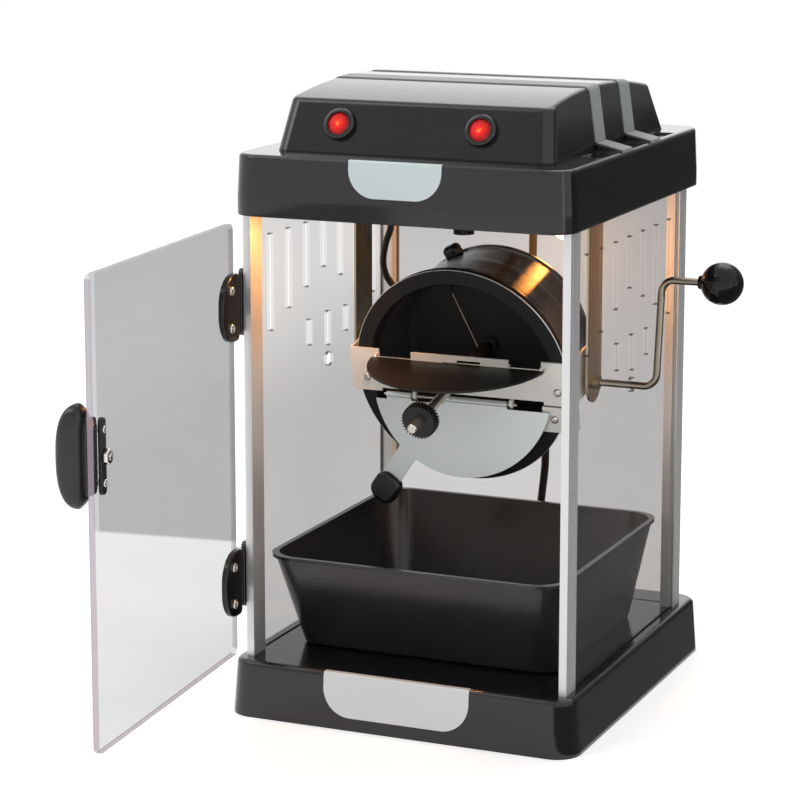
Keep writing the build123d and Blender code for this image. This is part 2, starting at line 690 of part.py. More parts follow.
def lower_lid():
    """Satin steel half lid with a tab at its lower left; it hangs open when the kettle is tipped."""
    y, h = LID_PIVOT
    thick = (h - 0.6, h + 0.6)
    plate = leaf_disc(-1, y - 3.6, thick, LID_R, LID_CENTRE)
    rolls, bore = barrel(LID_PIVOT, LID_ROLLS, 2.2, 1.25)
    for roll, x in zip(rolls, LID_ROLLS):
        plate = plate + roll + kettle_block(x, (y - 5, y), thick)
    return plate + lid_tab(TAB_WIDTH, 1.2) - bore


def lid_tab(width, thick):
    """Straight tab from inside the lid's rim out to the grip."""
    run = degrees(atan2(TAB_END[1] - TAB_START[1], TAB_END[0] - TAB_START[0]))
    length = (Vector(*TAB_END) - Vector(*TAB_START)).length
    middle = at_kettle((TAB_START[0] + TAB_END[0]) / 2, (TAB_START[1] + TAB_END[1]) / 2, LID_PIVOT[1])
    return Pos(*middle) * Rot(0, 0, run) * Box(length, width, thick)


def lid_grip():
    """Black moulded grip over the tab's end."""
    run = degrees(atan2(TAB_END[1] - TAB_START[1], TAB_END[0] - TAB_START[0]))
    middle = at_kettle(TAB_END[0] - 0.5, TAB_END[1] - 3, LID_PIVOT[1])
    pad = fillet(Box(22, 21, 9).edges().filter_by(Axis.Z), 8)
    pad = fillet(pad.edges().filter_by(Axis.Z, reverse=True), 3)
    return Pos(*middle) * Rot(0, 0, run) * pad - lid_tab(TAB_WIDTH, 1.2)


# Stirrer

def stirrer_shaft():
    shaft = kettle_disc(3.5, -58.6, 92)
    return chamfer(shaft.edges().group_by(Axis.Z)[-1], 0.8)


def stirrer_gear():
    wheel = Pos(*at_kettle(0, 0, GEAR_H)) * gear(GEAR_R, 1.4, GEAR_TEETH, 3.5, 8)
    return wheel + kettle_disc(6.5, GEAR_H - 5, GEAR_H) - kettle_disc(3.5, GEAR_H - 6, GEAR_H + 9)


def stirrer_wire():
    """Two bent wire arms that sweep the pot's floor, held in a hub on the shaft."""
    hub = kettle_disc(6, -46, -30) - kettle_disc(3.5, -60, 0)
    arms = []
    for turn, reach in ((118, 50), (298, 50)):
        u = (cos(radians(turn)), sin(radians(turn)))
        place = lambda r, h: at_kettle(u[0] * r, u[1] * r, h)
        path = FilletPolyline(place(5, -40), place(reach, -49), place(reach + 1.5, -57.2), radius=4)
        start = Plane(origin=path @ 0, z_dir=path % 0)
        arms.append(sweep(start * Circle(0.9), path=path))
    wire = hub
    for arm in arms:
        wire = wire + arm
    return wire - kettle_disc(3.5, -60, 0)


# Door

def door_panel():
    x, y, z = DOOR_X, DOOR_Y, DOOR_Z
    sheet = block(x, y, z)
    sheet = fillet(sheet.edges().filter_by(Axis.Y), 5)
    notches = [block((x[0] - 1, x[0] + 6.5), (y[0] - 1, y[1] + 1), (c - 11, c + 11)) for c in HINGE_Z]
    bolts = [rod((PLATE_X, y[0] - 1, HANDLE_Z + s), (PLATE_X, y[1] + 1, HANDLE_Z + s), 2.2)
             for s in (-17, 17)]
    return sheet - notches - bolts


def door_handle():
    """Black moulded pull on the outer face: bowed cap with cut-back ends on a narrower foot."""
    face = DOOR_Y[0]
    bow = [(face - deep, z) for z, deep in HANDLE_BOW]
    bow = bow + [(deep, -z) for deep, z in bow[-2::-1]]
    back = face - HANDLE_GAP
    outline = make_face([Line((back, -HANDLE_FOOT), (back, HANDLE_FOOT)), Line((back, HANDLE_FOOT), bow[0]),
                         Spline(*bow), Line(bow[-1], (back, -HANDLE_FOOT))])
    pod = Pos(HANDLE_X, 0, HANDLE_Z) * extrude(Plane.YZ * outline, HANDLE_WIDTH / 2, both=True)
    rims = [e for e in pod.edges() if abs(e.center().X - HANDLE_X) > 1 and e.geom_type == GeomType.BSPLINE]
    pod = fillet(rims, 5)
    tall = (HANDLE_Z - HANDLE_FOOT, HANDLE_Z + HANDLE_FOOT)
    foot = block((PLATE_X - 4, HANDLE_X + 5), (back - 1, face), tall)
    return pod + fillet(foot.edges().filter_by(Axis.Y), 4)


def handle_plate():
    """Inner clamp strip of the handle."""
    face = DOOR_Y[1]
    plate = block((PLATE_X - 3.5, PLATE_X + 3.5), (face, face + 2.6), (HANDLE_Z - 24.5, HANDLE_Z + 24.5))
    plate = fillet(plate.edges().filter_by(Axis.Y), 3.2)
    return fillet(plate.faces().sort_by(Axis.Y)[-1].edges(), 0.8)


def handle_screws():
    """Chrome nut in the middle of the clamp strip and a small screw near each end."""
    face = DOOR_Y[1] + 2.6
    sizes = ((0, 4.5, 4.5), (-17, 2.5, 1.2), (17, 2.5, 1.2))
    return [rod((PLATE_X, face, HANDLE_Z + s), (PLATE_X, face + high, HANDLE_Z + s), r)
            for s, r, high in sizes]


def door_hinges():
    """Hinge halves on the door: barrel, arm through the notch and a rounded leaf inside the pane."""
    px, py = DOOR_PIVOT
    leaves = []
    for c in HINGE_Z:
        leaf = block((-113.4, LEAF_X), (DOOR_Y[1], DOOR_Y[1] + 4), (c - 23.5, c + 23.5))
        leaf = fillet(leaf.edges().filter_by(Axis.Y).group_by(Axis.X)[-1], 20)
        leaf = fillet(leaf.edges().filter_by(Axis.Y).group_by(Axis.X)[0], 4)
        leaf = fillet(leaf.faces().sort_by(Axis.Y)[-1].edges(), 1.2)
        arm = block((px, -107), (DOOR_Y[0], DOOR_Y[1]), (c - 10, c + 10))
        knuckle = rod((px, py, c - 10), (px, py, c + 10), 3.4)
        leaves.append(leaf + arm + knuckle - rod((px, py, c - 20), (px, py, c + 20), 1.56))
    return group(leaves)


def post_hinges():
    """Hinge halves on the left front post: plate on its outer side with two barrels."""
    px, py = DOOR_PIVOT
    leaves = []
    for c in HINGE_Z:
        plate = block((-123.9, -POST_OUT_X), (-129.3, -113.5), (c - 23.5, c + 23.5))
        plate = fillet(plate.edges().filter_by(Axis.X), 3)
        leaf = plate
        for low in (c - 20, c + 10.3):
            leaf = leaf + rod((px, py, low), (px, py, low + 9.7), 3.4)
            leaf = leaf + block((px - 0.9, px + 2.4), (py, -128), (low, low + 9.7))
        leaves.append(leaf - rod((px, py, c - 30), (px, py, c + 30), 1.5))
    return group(leaves)


def hinge_pins():
    px, py = DOOR_PIVOT
    return group([rod((px, py, c - 20), (px, py, c + 20), 1.5) for c in HINGE_Z])


def hinge_screws():
    face = DOOR_Y[1] + 4
    x = LEAF_SCREW_X
    return [rod((x, face, c + s), (x, face + 1.4, c + s), 3.4) for c in HINGE_Z for s in (-13, 13)]


# Tray

def tray_form(inset, low):
    """Tapered rounded tub form, drawn in by inset on every side, from height low."""
    rw, rd, ry, rz = TRAY_RIM
    fw, fd, fy, fz = TRAY_FOOT
    share = (low - fz) / (rz - fz)
    w, d, y = [f + (r - f) * share - 2 * inset * k for f, r, k in ((fw, rw, 1), (fd, rd, 1), (fy, ry, 0))]
    foot = Pos(0, y, low) * RectangleRounded(w, d, 16)
    rim = Pos(0, ry, rz) * RectangleRounded(rw - 2 * inset, rd - 2 * inset, 20)
    return loft([foot, rim])


def popcorn_tray():
    rw, rd, ry, rz = TRAY_RIM
    tub = tray_form(0, TRAY_FOOT[3])
    tub = fillet(tub.faces().sort_by(Axis.Z)[0].edges(), 3)
    lip = Pos(0, ry, rz - 2.4) * extrude(RectangleRounded(rw + 3, rd + 3, 21), 2.4)
    tub = tub + lip
    return tub - tray_form(TRAY_WALL, TRAY_FOOT[3] + TRAY_WALL)


# Leads

def turn_radii(route):
    """Largest tangent arc at each inner point: 0.45 of the shorter run over the tangent of half the turn."""
    points = [Vector(*p) for p in route]
    radii = []
    for a, b, c in zip(points, points[1:], points[2:]):
        turn = radians((b - a).get_angle(c - b))
        radii.append(0.45 * min((b - a).length, (c - b).length) / tan(turn / 2))
    return radii


def lead(name, route, diameter):
    """Round lead along straight runs joined by tangent arcs."""
    radii = turn_radii(route)
    path = FilletPolyline(*route, radius=radii)
    tube = sweep(Plane(origin=route[0], z_dir=path % 0) * Circle(diameter / 2), path=path)
    section = pi * diameter ** 2 / 4
    print(name, "radii", [round(r) for r in radii], "length", round(path.length, 1),
          "volume over section", round(tube.volume / section, 1))
    return tube


def coil_path():
    """Half turns of the put-away coil: two turns in, one climbing half turn, then out on the upper layer."""
    step = (MAINS_D + COIL_GAP) / 2
    rise = MAINS_D + COIL_GAP
    cx, cy = COIL_AT
    radii = [COIL_R - step * k for k in (0, 1, 2, 3, 4, 3, 2, 1)]
    x, z, way = cx + COIL_R, COIL_Z, 1
    edges = [Line((x, cy - MAINS_D, z), (x, cy, z))]
    for k, r in enumerate(radii):
        lift = rise if k == 4 else 0
        end = x - 2 * way * r
        middle = ((x + end) / 2, cy + way * r, z + lift / 2)
        edges.append(ThreePointArc((x, cy, z), middle, (end, cy, z + lift)))
        x, z, way = end, z + lift, -way
    edges.append(Line((x, cy, z), (x, cy + COIL_TAIL, z)))
    return edges, (x, cy + COIL_TAIL, z)


def coil_gap(edges):
    """Least clear gap between stretches of the coil that are more than a quarter turn apart."""
    points = [e @ (k / 24) for e in edges[1:-1] for k in range(24)]
    apart = 14
    gaps = [(p - q).length for i, p in enumerate(points) for q in points[i + apart:]]
    return min(gaps) - MAINS_D


def mains_coil():
    edges, _ = coil_path()
    print("coil self-gap", round(coil_gap(edges), 2), "length", round(sum(e.length for e in edges), 1))
    wire = Wire(edges)
    return sweep(Plane(origin=edges[0] @ 0, z_dir=(0, 1, 0)) * Circle(MAINS_D / 2), path=wire)


def coil_tie():
    """Narrow strap round the coil's turns on its left side."""
    cx, cy = COIL_AT
    r = MAINS_D / 2
    step = MAINS_D + COIL_GAP
    x = (cx - COIL_R - r - 0.3, cx - COIL_R + 2 * step + r + 1.0)
    z = (COIL_Z - r - 0.3, COIL_Z + step + r + 0.3)
    y = (cy - 5, cy + 5)
    outside = block((x[0] - 0.8, x[1] + 0.8), y, (z[0] - 0.8, z[1] + 0.8))
    return fillet(outside.edges().filter_by(Axis.Y), 1.5) - block(x, (cy - 9, cy + 9), z)


def mains_plug():
    """Two-blade plug lying beyond the coil, with a tapered boot."""
    _, (x, y, z) = coil_path()
    boot = cone((x, y + 0.1, z), (x, y + 9, z), MAINS_D / 2 + 0.6, 5.2)
    body = block((x - 11, x + 11), (y + 9, y + 29), (0.3, 2 * z - 0.3))
    body = fillet(body.edges().filter_by(Axis.Y), 5)
    return boot + body


def plug_blades():
    _, (x, y, z) = coil_path()
    return [block((x + s - 0.8, x + s + 0.8), (y + 29, y + 43), (z - 3.1, z + 3.1)) for s in (-6.35, 6.35)]


def mains_relief():
    """Tapered strain relief pointing down out of the head."""
    x, y, z = MAINS_ROUTE[0]
    relief = cone((x, y, CEILING_Z), (x, y, z), 6.5, 4.0)
    return relief


def kettle_socket():
    """Sleeve under the ceiling where the kettle's lead starts."""
    x, y, z = KETTLE_LEAD_ROUTE[0]
    return cone((x, y, CEILING_Z), (x, y, z), 6.0, 3.6)


os.makedirs("parts", exist_ok=True)
base_outline = badge_outline(54, BASE_H, 9.3, 20)
head_outline = badge_outline(33.5, LEDGE_Z, 372, 19)
NODES = {
    "base_shell": base_shell(),
    "base_cover": base_cover(),
    "rubber_feet": rubber_feet(),
    "base_badge": badge(base_outline, base_block(0), base_block(1.0)),
    "front_posts": group([post(FRONT_POST, side) for side in (-1, 1)]),
    "rear_posts": group([post(REAR_POST, side) for side in (-1, 1)]),
    "side_panes": group([side_pane(side) for side in (-1, 1)]),
    "rear_pane": rear_pane(),
    "head_frame": head_frame(),
    "head_lid": head_lid(),
    "head_stripes": head_stripes(),
    "head_badge": badge(head_outline, head_block(0), head_block(1.0)),
    "ceiling_plate": ceiling_plate(),
    "cabinet_screws": group(post_screws() + hanger_screws()),
    "switch_bezels": switch_bezels(),
    "left_switch_button": switch_button(SWITCH_X[0]),
    "right_switch_button": switch_button(SWITCH_X[1]),
    "stir_motor": stir_motor(),
    "drive_pinion": drive_pinion(),
    "motor_shaft": motor_shaft(),
    "lamp_holder": lamp_holder(),
    "lamp_bulb": lamp_bulb(),
    "kettle_hangers": group([hanger(side) for side in (-1, 1)]),
    "hanger_bushes": group([hanger_bush(side) for side in (-1, 1)]),
    "kettle_bowl": tip(kettle_bowl()),
    "kettle_jacket": tip(kettle_jacket()),
    "kettle_rear_cover": tip(kettle_rear_cover()),
    "kettle_gland": tip(kettle_gland()),
    "thermostat_cap": tip(thermostat_cap()),
    "heater_ring": tip(heater_ring()),
    "thermostat": tip(thermostat()),
    "crossbar": tip(crossbar()),
    "crossbar_screws": tip(crossbar_screws()),
    "lid_rods": tip(lid_rods()),
    "trunnion_pin": trunnion_pin(),
    "crank_rod": crank_rod(),
    "crank_knob": crank_knob(),
    "upper_flap": tip(open_flap(upper_flap())),
    "flap_sleeve": tip(open_flap(flap_sleeve())),
    "lower_lid": tip(open_lid(lower_lid())),
    "lid_grip": tip(open_lid(lid_grip())),
    "stirrer_shaft": tip(stirrer_shaft()),
    "stirrer_gear": tip(stirrer_gear()),
    "stirrer_wire": tip(stirrer_wire()),
    "door_panel": swing(door_panel()),
    "door_handle": swing(door_handle()),
    "handle_plate": swing(handle_plate()),
    "door_screws": swing(group(handle_screws() + hinge_screws())),
    "door_hinges": swing(door_hinges()),
    "post_hinges": post_hinges(),
    "hinge_pins": hinge_pins(),
    "popcorn_tray": popcorn_tray(),
    "mains_relief": mains_relief(),
    "mains_lead": lead("mains lead", MAINS_ROUTE, MAINS_D),
    "mains_coil": mains_coil(),
    "coil_tie": coil_tie(),
    "mains_plug": group([mains_plug(), *plug_blades()]),
    "kettle_socket": kettle_socket(),
    "kettle_lead": lead("kettle lead", KETTLE_LEAD_ROUTE, KETTLE_LEAD_D),
}
for name, shape in NODES.items():
    export_step(shape, f"parts/{name}.step")
print(len(NODES), "nodes")
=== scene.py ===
from math import cos, pi, radians, sin

import bmesh
import bpy
import numpy as np
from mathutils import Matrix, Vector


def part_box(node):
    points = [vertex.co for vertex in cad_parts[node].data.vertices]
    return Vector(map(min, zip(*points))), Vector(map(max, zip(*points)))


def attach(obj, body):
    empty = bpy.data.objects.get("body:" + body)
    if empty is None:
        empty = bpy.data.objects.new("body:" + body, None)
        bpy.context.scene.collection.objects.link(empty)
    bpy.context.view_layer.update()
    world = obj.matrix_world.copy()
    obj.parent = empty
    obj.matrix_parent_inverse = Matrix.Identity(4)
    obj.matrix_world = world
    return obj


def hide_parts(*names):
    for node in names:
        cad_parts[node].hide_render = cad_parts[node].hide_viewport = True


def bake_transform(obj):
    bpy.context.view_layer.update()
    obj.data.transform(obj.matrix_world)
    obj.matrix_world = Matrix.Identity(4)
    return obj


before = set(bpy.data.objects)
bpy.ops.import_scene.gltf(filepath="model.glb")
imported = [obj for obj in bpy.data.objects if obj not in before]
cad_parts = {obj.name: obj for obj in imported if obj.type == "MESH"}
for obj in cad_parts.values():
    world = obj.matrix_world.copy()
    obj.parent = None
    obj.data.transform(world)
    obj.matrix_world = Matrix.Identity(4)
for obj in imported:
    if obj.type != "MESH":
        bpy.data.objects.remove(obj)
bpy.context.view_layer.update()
scene = bpy.context.scene
scene.view_settings.view_transform = "Standard"

# Viewpoint: a long lens in front of the cabin, to its right and a little above the head,
# at the place worked out from the straight edges of the cabin in the picture.
camera_data = bpy.data.cameras.new("viewpoint")
camera_data.lens = 124.58
camera_data.sensor_width = 36.0
camera_data.shift_y = -0.1
camera_data.clip_start = 0.05
camera_data.clip_end = 60.0
camera = bpy.data.objects.new("viewpoint", camera_data)
camera.location = (0.7249, -1.8109, 0.6254)
camera.rotation_euler = (radians(90 - 10.419), 0.0, radians(23.396))
scene.collection.objects.link(camera)
scene.camera = camera


# Mains lead: a round black sheathed flex that leaves the back of the head through its strain relief,
# runs down behind the rear pane, and is wound into a tied coil behind the base with its plug beside it.
class Link:
    """A socket in a material's node tree. Arithmetic on it adds Math nodes to that tree."""

    def __init__(self, tree, socket):
        self.tree = tree
        self.socket = socket

    def node(self, kind, settings=None, values=None, out=0):
        """Any other node: its type, its settings (set first), then values or links for its sockets."""
        made = self.tree.nodes.new(kind)
        for name, value in (settings or {}).items():
            if name == "stops":
                ramp = made.color_ramp.elements
                while len(ramp) < len(value):
                    ramp.new(1.0)
                for stop, (place, colour) in zip(ramp, value):
                    stop.position = place
                    stop.color = colour
            else:
                setattr(made, name, value)
        for key, value in (values or {}).items():
            if isinstance(value, Link):
                self.tree.links.new(value.socket, made.inputs[key])
            else:
                made.inputs[key].default_value = value
        return Link(self.tree, made.outputs[out])

    def maths(self, operation, first, second=0.0):
        """One Math node on links or numbers."""
        return self.node("ShaderNodeMath", {"operation": operation}, {0: first, 1: second})

    def __add__(self, other):
        return self.maths("ADD", self, other)

    def __radd__(self, other):
        return self.maths("ADD", other, self)

    def __sub__(self, other):
        return self.maths("SUBTRACT", self, other)

    def __rsub__(self, other):
        return self.maths("SUBTRACT", other, self)

    def __mul__(self, other):
        return self.maths("MULTIPLY", self, other)

    def __rmul__(self, other):
        return self.maths("MULTIPLY", other, self)

    def noise(self, scale, detail=2.0, stretch=None):
        """Noise on this vector, 0 to 1, with features about 1 / scale metres, and stretch squeezes axes."""
        place = self
        if stretch:
            place = self.node("ShaderNodeMapping", {}, {"Vector": self, "Scale": stretch})
        return self.node("ShaderNodeTexNoise", {}, {"Vector": place, "Scale": scale, "Detail": detail})

    def step(self, low, high):
        """0 below low, 1 above high, smooth between."""
        spread = {"interpolation_type": "SMOOTHSTEP"}
        return self.node("ShaderNodeMapRange", spread, {"Value": self, "From Min": low, "From Max": high})

    def tint(self, first, second):
        """First colour where this is 0, second where it is 1."""
        colours = {"Factor": self, 6: first, 7: second}
        return self.node("ShaderNodeMix", {"data_type": "RGBA"}, colours, 2)


def finish(name, **fixed):
    """New material with one main shader. The fixed values are set on the shader's own sockets."""
    material = bpy.data.materials.new(name)
    material.use_nodes = True
    tree = material.node_tree
    shader = tree.nodes["Principled BSDF"]
    for socket, value in fixed.items():
        shader.inputs[socket.replace("_", " ")].default_value = value
    place = Link(tree, tree.nodes.new("ShaderNodeTexCoord").outputs["Object"])
    return material, shader, place


def lay(shader, **varying):
    """Link what changes over the surface into the shader."""
    for socket, value in varying.items():
        value.tree.links.new(value.socket, shader.inputs[socket.replace("_", " ")])


def bump(height, strength, distance, over=None):
    """Relief of a height, over the plain surface or over another normal."""
    values = {"Strength": strength, "Distance": distance, "Height": height}
    if over:
        values["Normal"] = over
    return height.node("ShaderNodeBump", {}, values)


def rgb(r, g, b):
    """Solid colour."""
    return (r, g, b, 1.0)


def wear(material, *names):
    """Give a finish to CAD nodes."""
    for name in names:
        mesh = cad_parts[name].data
        mesh.materials.clear()
        mesh.materials.append(material)


def sheathing(name, dark, light):
    """Extruded flexible sheath: fine draw lines along it, a dull bloom and slight unevenness."""
    material, shader, place = finish(name, Specular_IOR_Level=0.35)
    cloud = place.noise(60.0, 3.0)
    lines = place.noise(900.0, 2.0)
    lay(shader, Base_Color=cloud.tint(dark, light), Roughness=0.36 + cloud * 0.22,
        Normal=bump(lines, 0.25, 0.0004))
    return material


def route_curve(name, points, radius):
    """Smooth line of order 3 held at its ends, with the route's points as control points."""
    curve = bpy.data.curves.new(name, "CURVE")
    curve.dimensions = "3D"
    spline = curve.splines.new("NURBS")
    spline.points.add(len(points) - 1)
    spline.points.foreach_set("co", np.column_stack((points, np.ones(len(points)))).ravel())
    spline.order_u = 3
    spline.use_endpoint_u = True
    spline.resolution_u = 10
    curve.bevel_depth = radius
    curve.bevel_resolution = 6
    curve.use_fill_caps = True
    return curve


MM = 0.001
MAINS_D = 6.0
COIL_R = 38.0
COIL_AT = (-46.0, 206.0)
COIL_Z = 4.2
COIL_PITCH = 6.5
COIL_TAIL = 24.0
TURN_POINTS = 24
mains_route = [
    (-5.0, 130.0, 328.0), (-5.0, 130.0, 305.0), (-6.6, 132.0, 262.0), (-4.0, 134.6, 219.0),
    (0.6, 138.0, 176.0), (3.0, 142.2, 138.0), (-2.6, 146.6, 102.0), (-7.4, 149.6, 64.0),
    (-8.4, 151.4, 34.0), (-8.6, 162.0, 15.0), (-8.0, 180.6, 4.2), (-8.0, 200.0, 4.2),
]


def coil_points():
    """Half turns whose radii step in, climb one layer and step out; each starts where the last one ended."""
    reach = 1.0 / (0.25 * (3.0 + cos(2 * pi / TURN_POINTS)))
    half = TURN_POINTS // 2
    x, z, way = COIL_AT[0] + COIL_R, COIL_Z, 1
    points = []
    for number, step in enumerate((0, 1, 2, 3, 4, 3, 2, 1)):
        r = COIL_R - step * COIL_PITCH / 2
        rise = COIL_PITCH if number == 4 else 0.0
        middle = x - way * r
        share = (np.arange(half) + 0.5) / half
        turn = share * pi
        points.append(np.column_stack((middle + way * r * reach * np.cos(turn),
                                       COIL_AT[1] + way * r * reach * np.sin(turn), z + rise * share)))
        x, z, way = x - 2 * way * r, z + rise, -way
    tail = [(x, COIL_AT[1] + COIL_TAIL / 2, z), (x, COIL_AT[1] + COIL_TAIL, z)]
    return np.vstack(points + [tail])


mains_points = np.vstack([mains_route, coil_points()]) * MM
mains_sheath = sheathing("mains_sheath", rgb(0.010, 0.010, 0.010), rgb(0.021, 0.021, 0.022))
mains_flex = bpy.data.objects.new("mains_flex", route_curve("mains_flex", mains_points, MAINS_D / 2 * MM))
mains_flex.data.materials.append(mains_sheath)
scene.collection.objects.link(mains_flex)
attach(mains_flex, "cabinet")
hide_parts("mains_lead", "mains_coil")
wear(mains_sheath, "mains_relief", "mains_plug", "coil_tie")

# Kettle lead: a thinner limp flex from a sleeve under the ceiling to the gland at the back of the kettle.
# Its upper end stays with the cabin, and its lower end goes with the kettle when that is tipped.
KETTLE_LEAD_D = 5.0
KETTLE_LEAD_SIDES = 20
ASIDE = (0.31, 0.12, 0.94)
kettle_lead_route = np.array([
    (-75.0, 25.0, 344.0), (-75.0, 25.0, 329.0), (-84.0, 29.5, 311.0), (-89.0, 37.5, 292.0),
    (-85.0, 50.0, 276.0), (-76.0, 66.0, 270.0), (-64.5, 82.5, 272.5), (-48.5, 89.0, 280.0),
    (-36.5, 80.0, 285.9), (-36.0, 65.0, 282.7),
]) * MM


def line_points(points):
    """Points read from the route's own smooth line, in order."""
    curve = route_curve("lead_line", points, 0.0)
    holder = bpy.data.objects.new("lead_line", curve)
    line = bpy.data.meshes.new_from_object(holder)
    found = np.empty(len(line.vertices) * 3)
    line.vertices.foreach_get("co", found)
    bpy.data.objects.remove(holder)
    bpy.data.meshes.remove(line)
    bpy.data.curves.remove(curve)
    return found.reshape(-1, 3)


def unit(v):
    """Vectors divided by their own lengths."""
    return v / np.linalg.norm(v, axis=-1, keepdims=True)


def grid_mesh(name, points, material, close_u=False, close_v=False, flip=False):
    """Mesh on a grid of points (rows, columns, 3): quads between neighbours, closed round where asked."""
    rows, columns = points.shape[:2]
    index = np.arange(rows * columns).reshape(rows, columns)
    i = index if close_u else index[:-1]
    if not close_v:
        i = i[:, :-1]
    below = np.roll(index, -1, 0)
    beside = np.roll(index, -1, 1)
    across = np.roll(below, -1, 1)
    cut = (slice(0, i.shape[0]), slice(0, i.shape[1]))
    order = [index[cut], beside[cut], across[cut], below[cut]]
    quads = np.stack(order[::-1] if flip else order, -1).reshape(-1, 4)
    mesh = bpy.data.meshes.new(name)
    mesh.from_pydata(points.reshape(-1, 3), [], quads.tolist())
    mesh.polygons.foreach_set("use_smooth", np.ones(len(mesh.polygons), bool))
    mesh.materials.append(material)
    made = bpy.data.objects.new(name, mesh)
    scene.collection.objects.link(made)
    return made


def tube_points(path, radius, around):
    """Circle carried along a path: path + r (S cos + U sin). S is square to the path and to one fixed
    direction that the path never takes, and U is square to both."""
    ahead = unit(np.gradient(path, axis=0))
    side = unit(np.cross(ahead, ASIDE))
    up = np.cross(ahead, side)
    turn = np.arange(around) * 2 * pi / around
    ring = side[:, None] * np.cos(turn)[None, :, None] + up[:, None] * np.sin(turn)[None, :, None]
    return path[:, None] + radius * ring


kettle_lead_line = line_points(kettle_lead_route)
kettle_sheath = sheathing("kettle_sheath", rgb(0.008, 0.008, 0.008), rgb(0.018, 0.017, 0.017))
kettle_tube = tube_points(kettle_lead_line, KETTLE_LEAD_D / 2 * MM, KETTLE_LEAD_SIDES)
kettle_flex = grid_mesh("kettle_flex", kettle_tube, kettle_sheath, close_v=True)
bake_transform(kettle_flex)
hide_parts("kettle_lead")
wear(mains_sheath, "kettle_socket", "kettle_gland")

# Studio: a white floor that keeps a soft shadow, a white surround and three soft boxes.
# Grey and white cards round it show only in reflections, as they do round gloss black goods.
SURROUND = 0.62
FLOOR_LIFT = 0.485
FLOOR_SIDE = 18.0
world = bpy.data.worlds.new("surround")
scene.world = world
world.use_nodes = True
sky = world.node_tree
seen = Link(sky, sky.nodes.new("ShaderNodeLightPath").outputs["Is Camera Ray"])
paths = sky.nodes["Light Path"]
for kind in ("Is Glossy Ray", "Is Transmission Ray"):
    seen = seen.maths("MAXIMUM", seen, Link(sky, paths.outputs[kind]))
sky.nodes["Background"].inputs["Color"].default_value = rgb(1.0, 1.0, 1.0)
sky.links.new((SURROUND + seen * (1.0 - SURROUND)).socket, sky.nodes["Background"].inputs["Strength"])

floor_material, floor_shader, floor_place = finish("floor_white", Roughness=0.9, Specular_IOR_Level=0.0)
floor_shader.inputs["Base Color"].default_value = rgb(0.82, 0.82, 0.82)
floor_tree = floor_material.node_tree
floor_path = floor_tree.nodes.new("ShaderNodeLightPath")
floor_seen = Link(floor_tree, floor_path.outputs["Is Camera Ray"])
floor_seen = floor_seen.maths("MAXIMUM", floor_seen, Link(floor_tree, floor_path.outputs["Is Glossy Ray"]))
floor_lift = floor_place.node("ShaderNodeEmission", {}, {"Color": rgb(1.0, 1.0, 1.0),
                                                         "Strength": floor_seen * FLOOR_LIFT})
floor_sum = floor_place.node("ShaderNodeAddShader", {}, {0: floor_lift})
floor_tree.links.new(floor_shader.outputs[0], floor_sum.socket.node.inputs[1])
floor_tree.links.new(floor_sum.socket, floor_tree.nodes["Material Output"].inputs["Surface"])


def flat_grid(corner, along, aside):
    """Rectangle as a grid of points: the corner plus shares of its two sides."""
    share = np.linspace(0.0, 1.0, 3)
    return corner + share[:, None, None] * np.array(along) + share[None, :, None] * np.array(aside)


floor_corner = (-FLOOR_SIDE / 2, -FLOOR_SIDE / 2, 0.0)
floor_points = flat_grid(floor_corner, (FLOOR_SIDE, 0.0, 0.0), (0.0, FLOOR_SIDE, 0.0))
floor = grid_mesh("floor", floor_points, floor_material, flip=True)


def flag_card(name, corner, along, aside, shade):
    """Even card as bright as its shade, which only reflections see."""
    material, shader, place = finish(name, Roughness=1.0, Specular_IOR_Level=0.0, Emission_Strength=shade)
    shader.inputs["Base Color"].default_value = rgb(0.0, 0.0, 0.0)
    lay(shader, Emission_Color=place.noise(1.5, 1.0).tint(rgb(0.9, 0.9, 0.9), rgb(1.0, 1.0, 1.0)))
    card = grid_mesh(name, flat_grid(corner, along, aside), material, flip=True)
    for kind in ("camera", "diffuse", "transmission", "volume_scatter", "shadow"):
        setattr(card, "visible_" + kind, False)


flag_card("card_floor", (0.1302, -0.6, 0.0015), (2.64, 0.0, 0.0), (0.0, 1.9, 0.0), 0.16)
flag_card("card_wall", (0.15, 1.32, 0.0), (2.6, -0.5, 0.0), (0.0, 0.0, 0.40), 0.06)
flag_card("card_wall_high", (0.15, 1.32, 0.40), (2.6, -0.5, 0.0), (0.0, 0.0, 0.9), 0.26)
flag_card("card_front", (-1.5, -1.75, 0.9), (1.7, 0.0, 0.0), (0.0, 0.3, 1.2), 0.6)
flag_card("card_back", (-3.4, 2.2, 0.55), (3.9, 0.85, 0.0), (0.0, 0.0, 1.6), 1.6)
flag_card("card_strip", (2.0, -0.95, 0.0), (0.05, 0.16, 0.0), (0.0, 0.0, 0.9), 3.0)


def soft_box(name, place, aim, size, watts, mirrored=True):
    """Square soft light at a place, facing a point."""
    light = bpy.data.lights.new(name, "AREA")
    light.size = size
    light.energy = watts
    holder = bpy.data.objects.new(name, light)
    holder.location = place
    look = np.array(aim) - np.array(place)
    flat = np.hypot(look[0], look[1])
    holder.rotation_euler = (np.arctan2(flat, -look[2]), 0.0, np.arctan2(-look[0], look[1]))
    holder.visible_camera = False
    holder.visible_glossy = mirrored
    scene.collection.objects.link(holder)


soft_box("key_box", (-1.25, -1.3, 1.75), (0.0, 0.0, 0.22), 1.1, 13.0)
soft_box("fill_box", (1.7, -1.2, 0.9), (0.0, 0.0, 0.2), 1.0, 5.0, False)
soft_box("top_box", (0.1, 0.9, 1.9), (0.0, 0.0, 0.3), 1.2, 9.0)


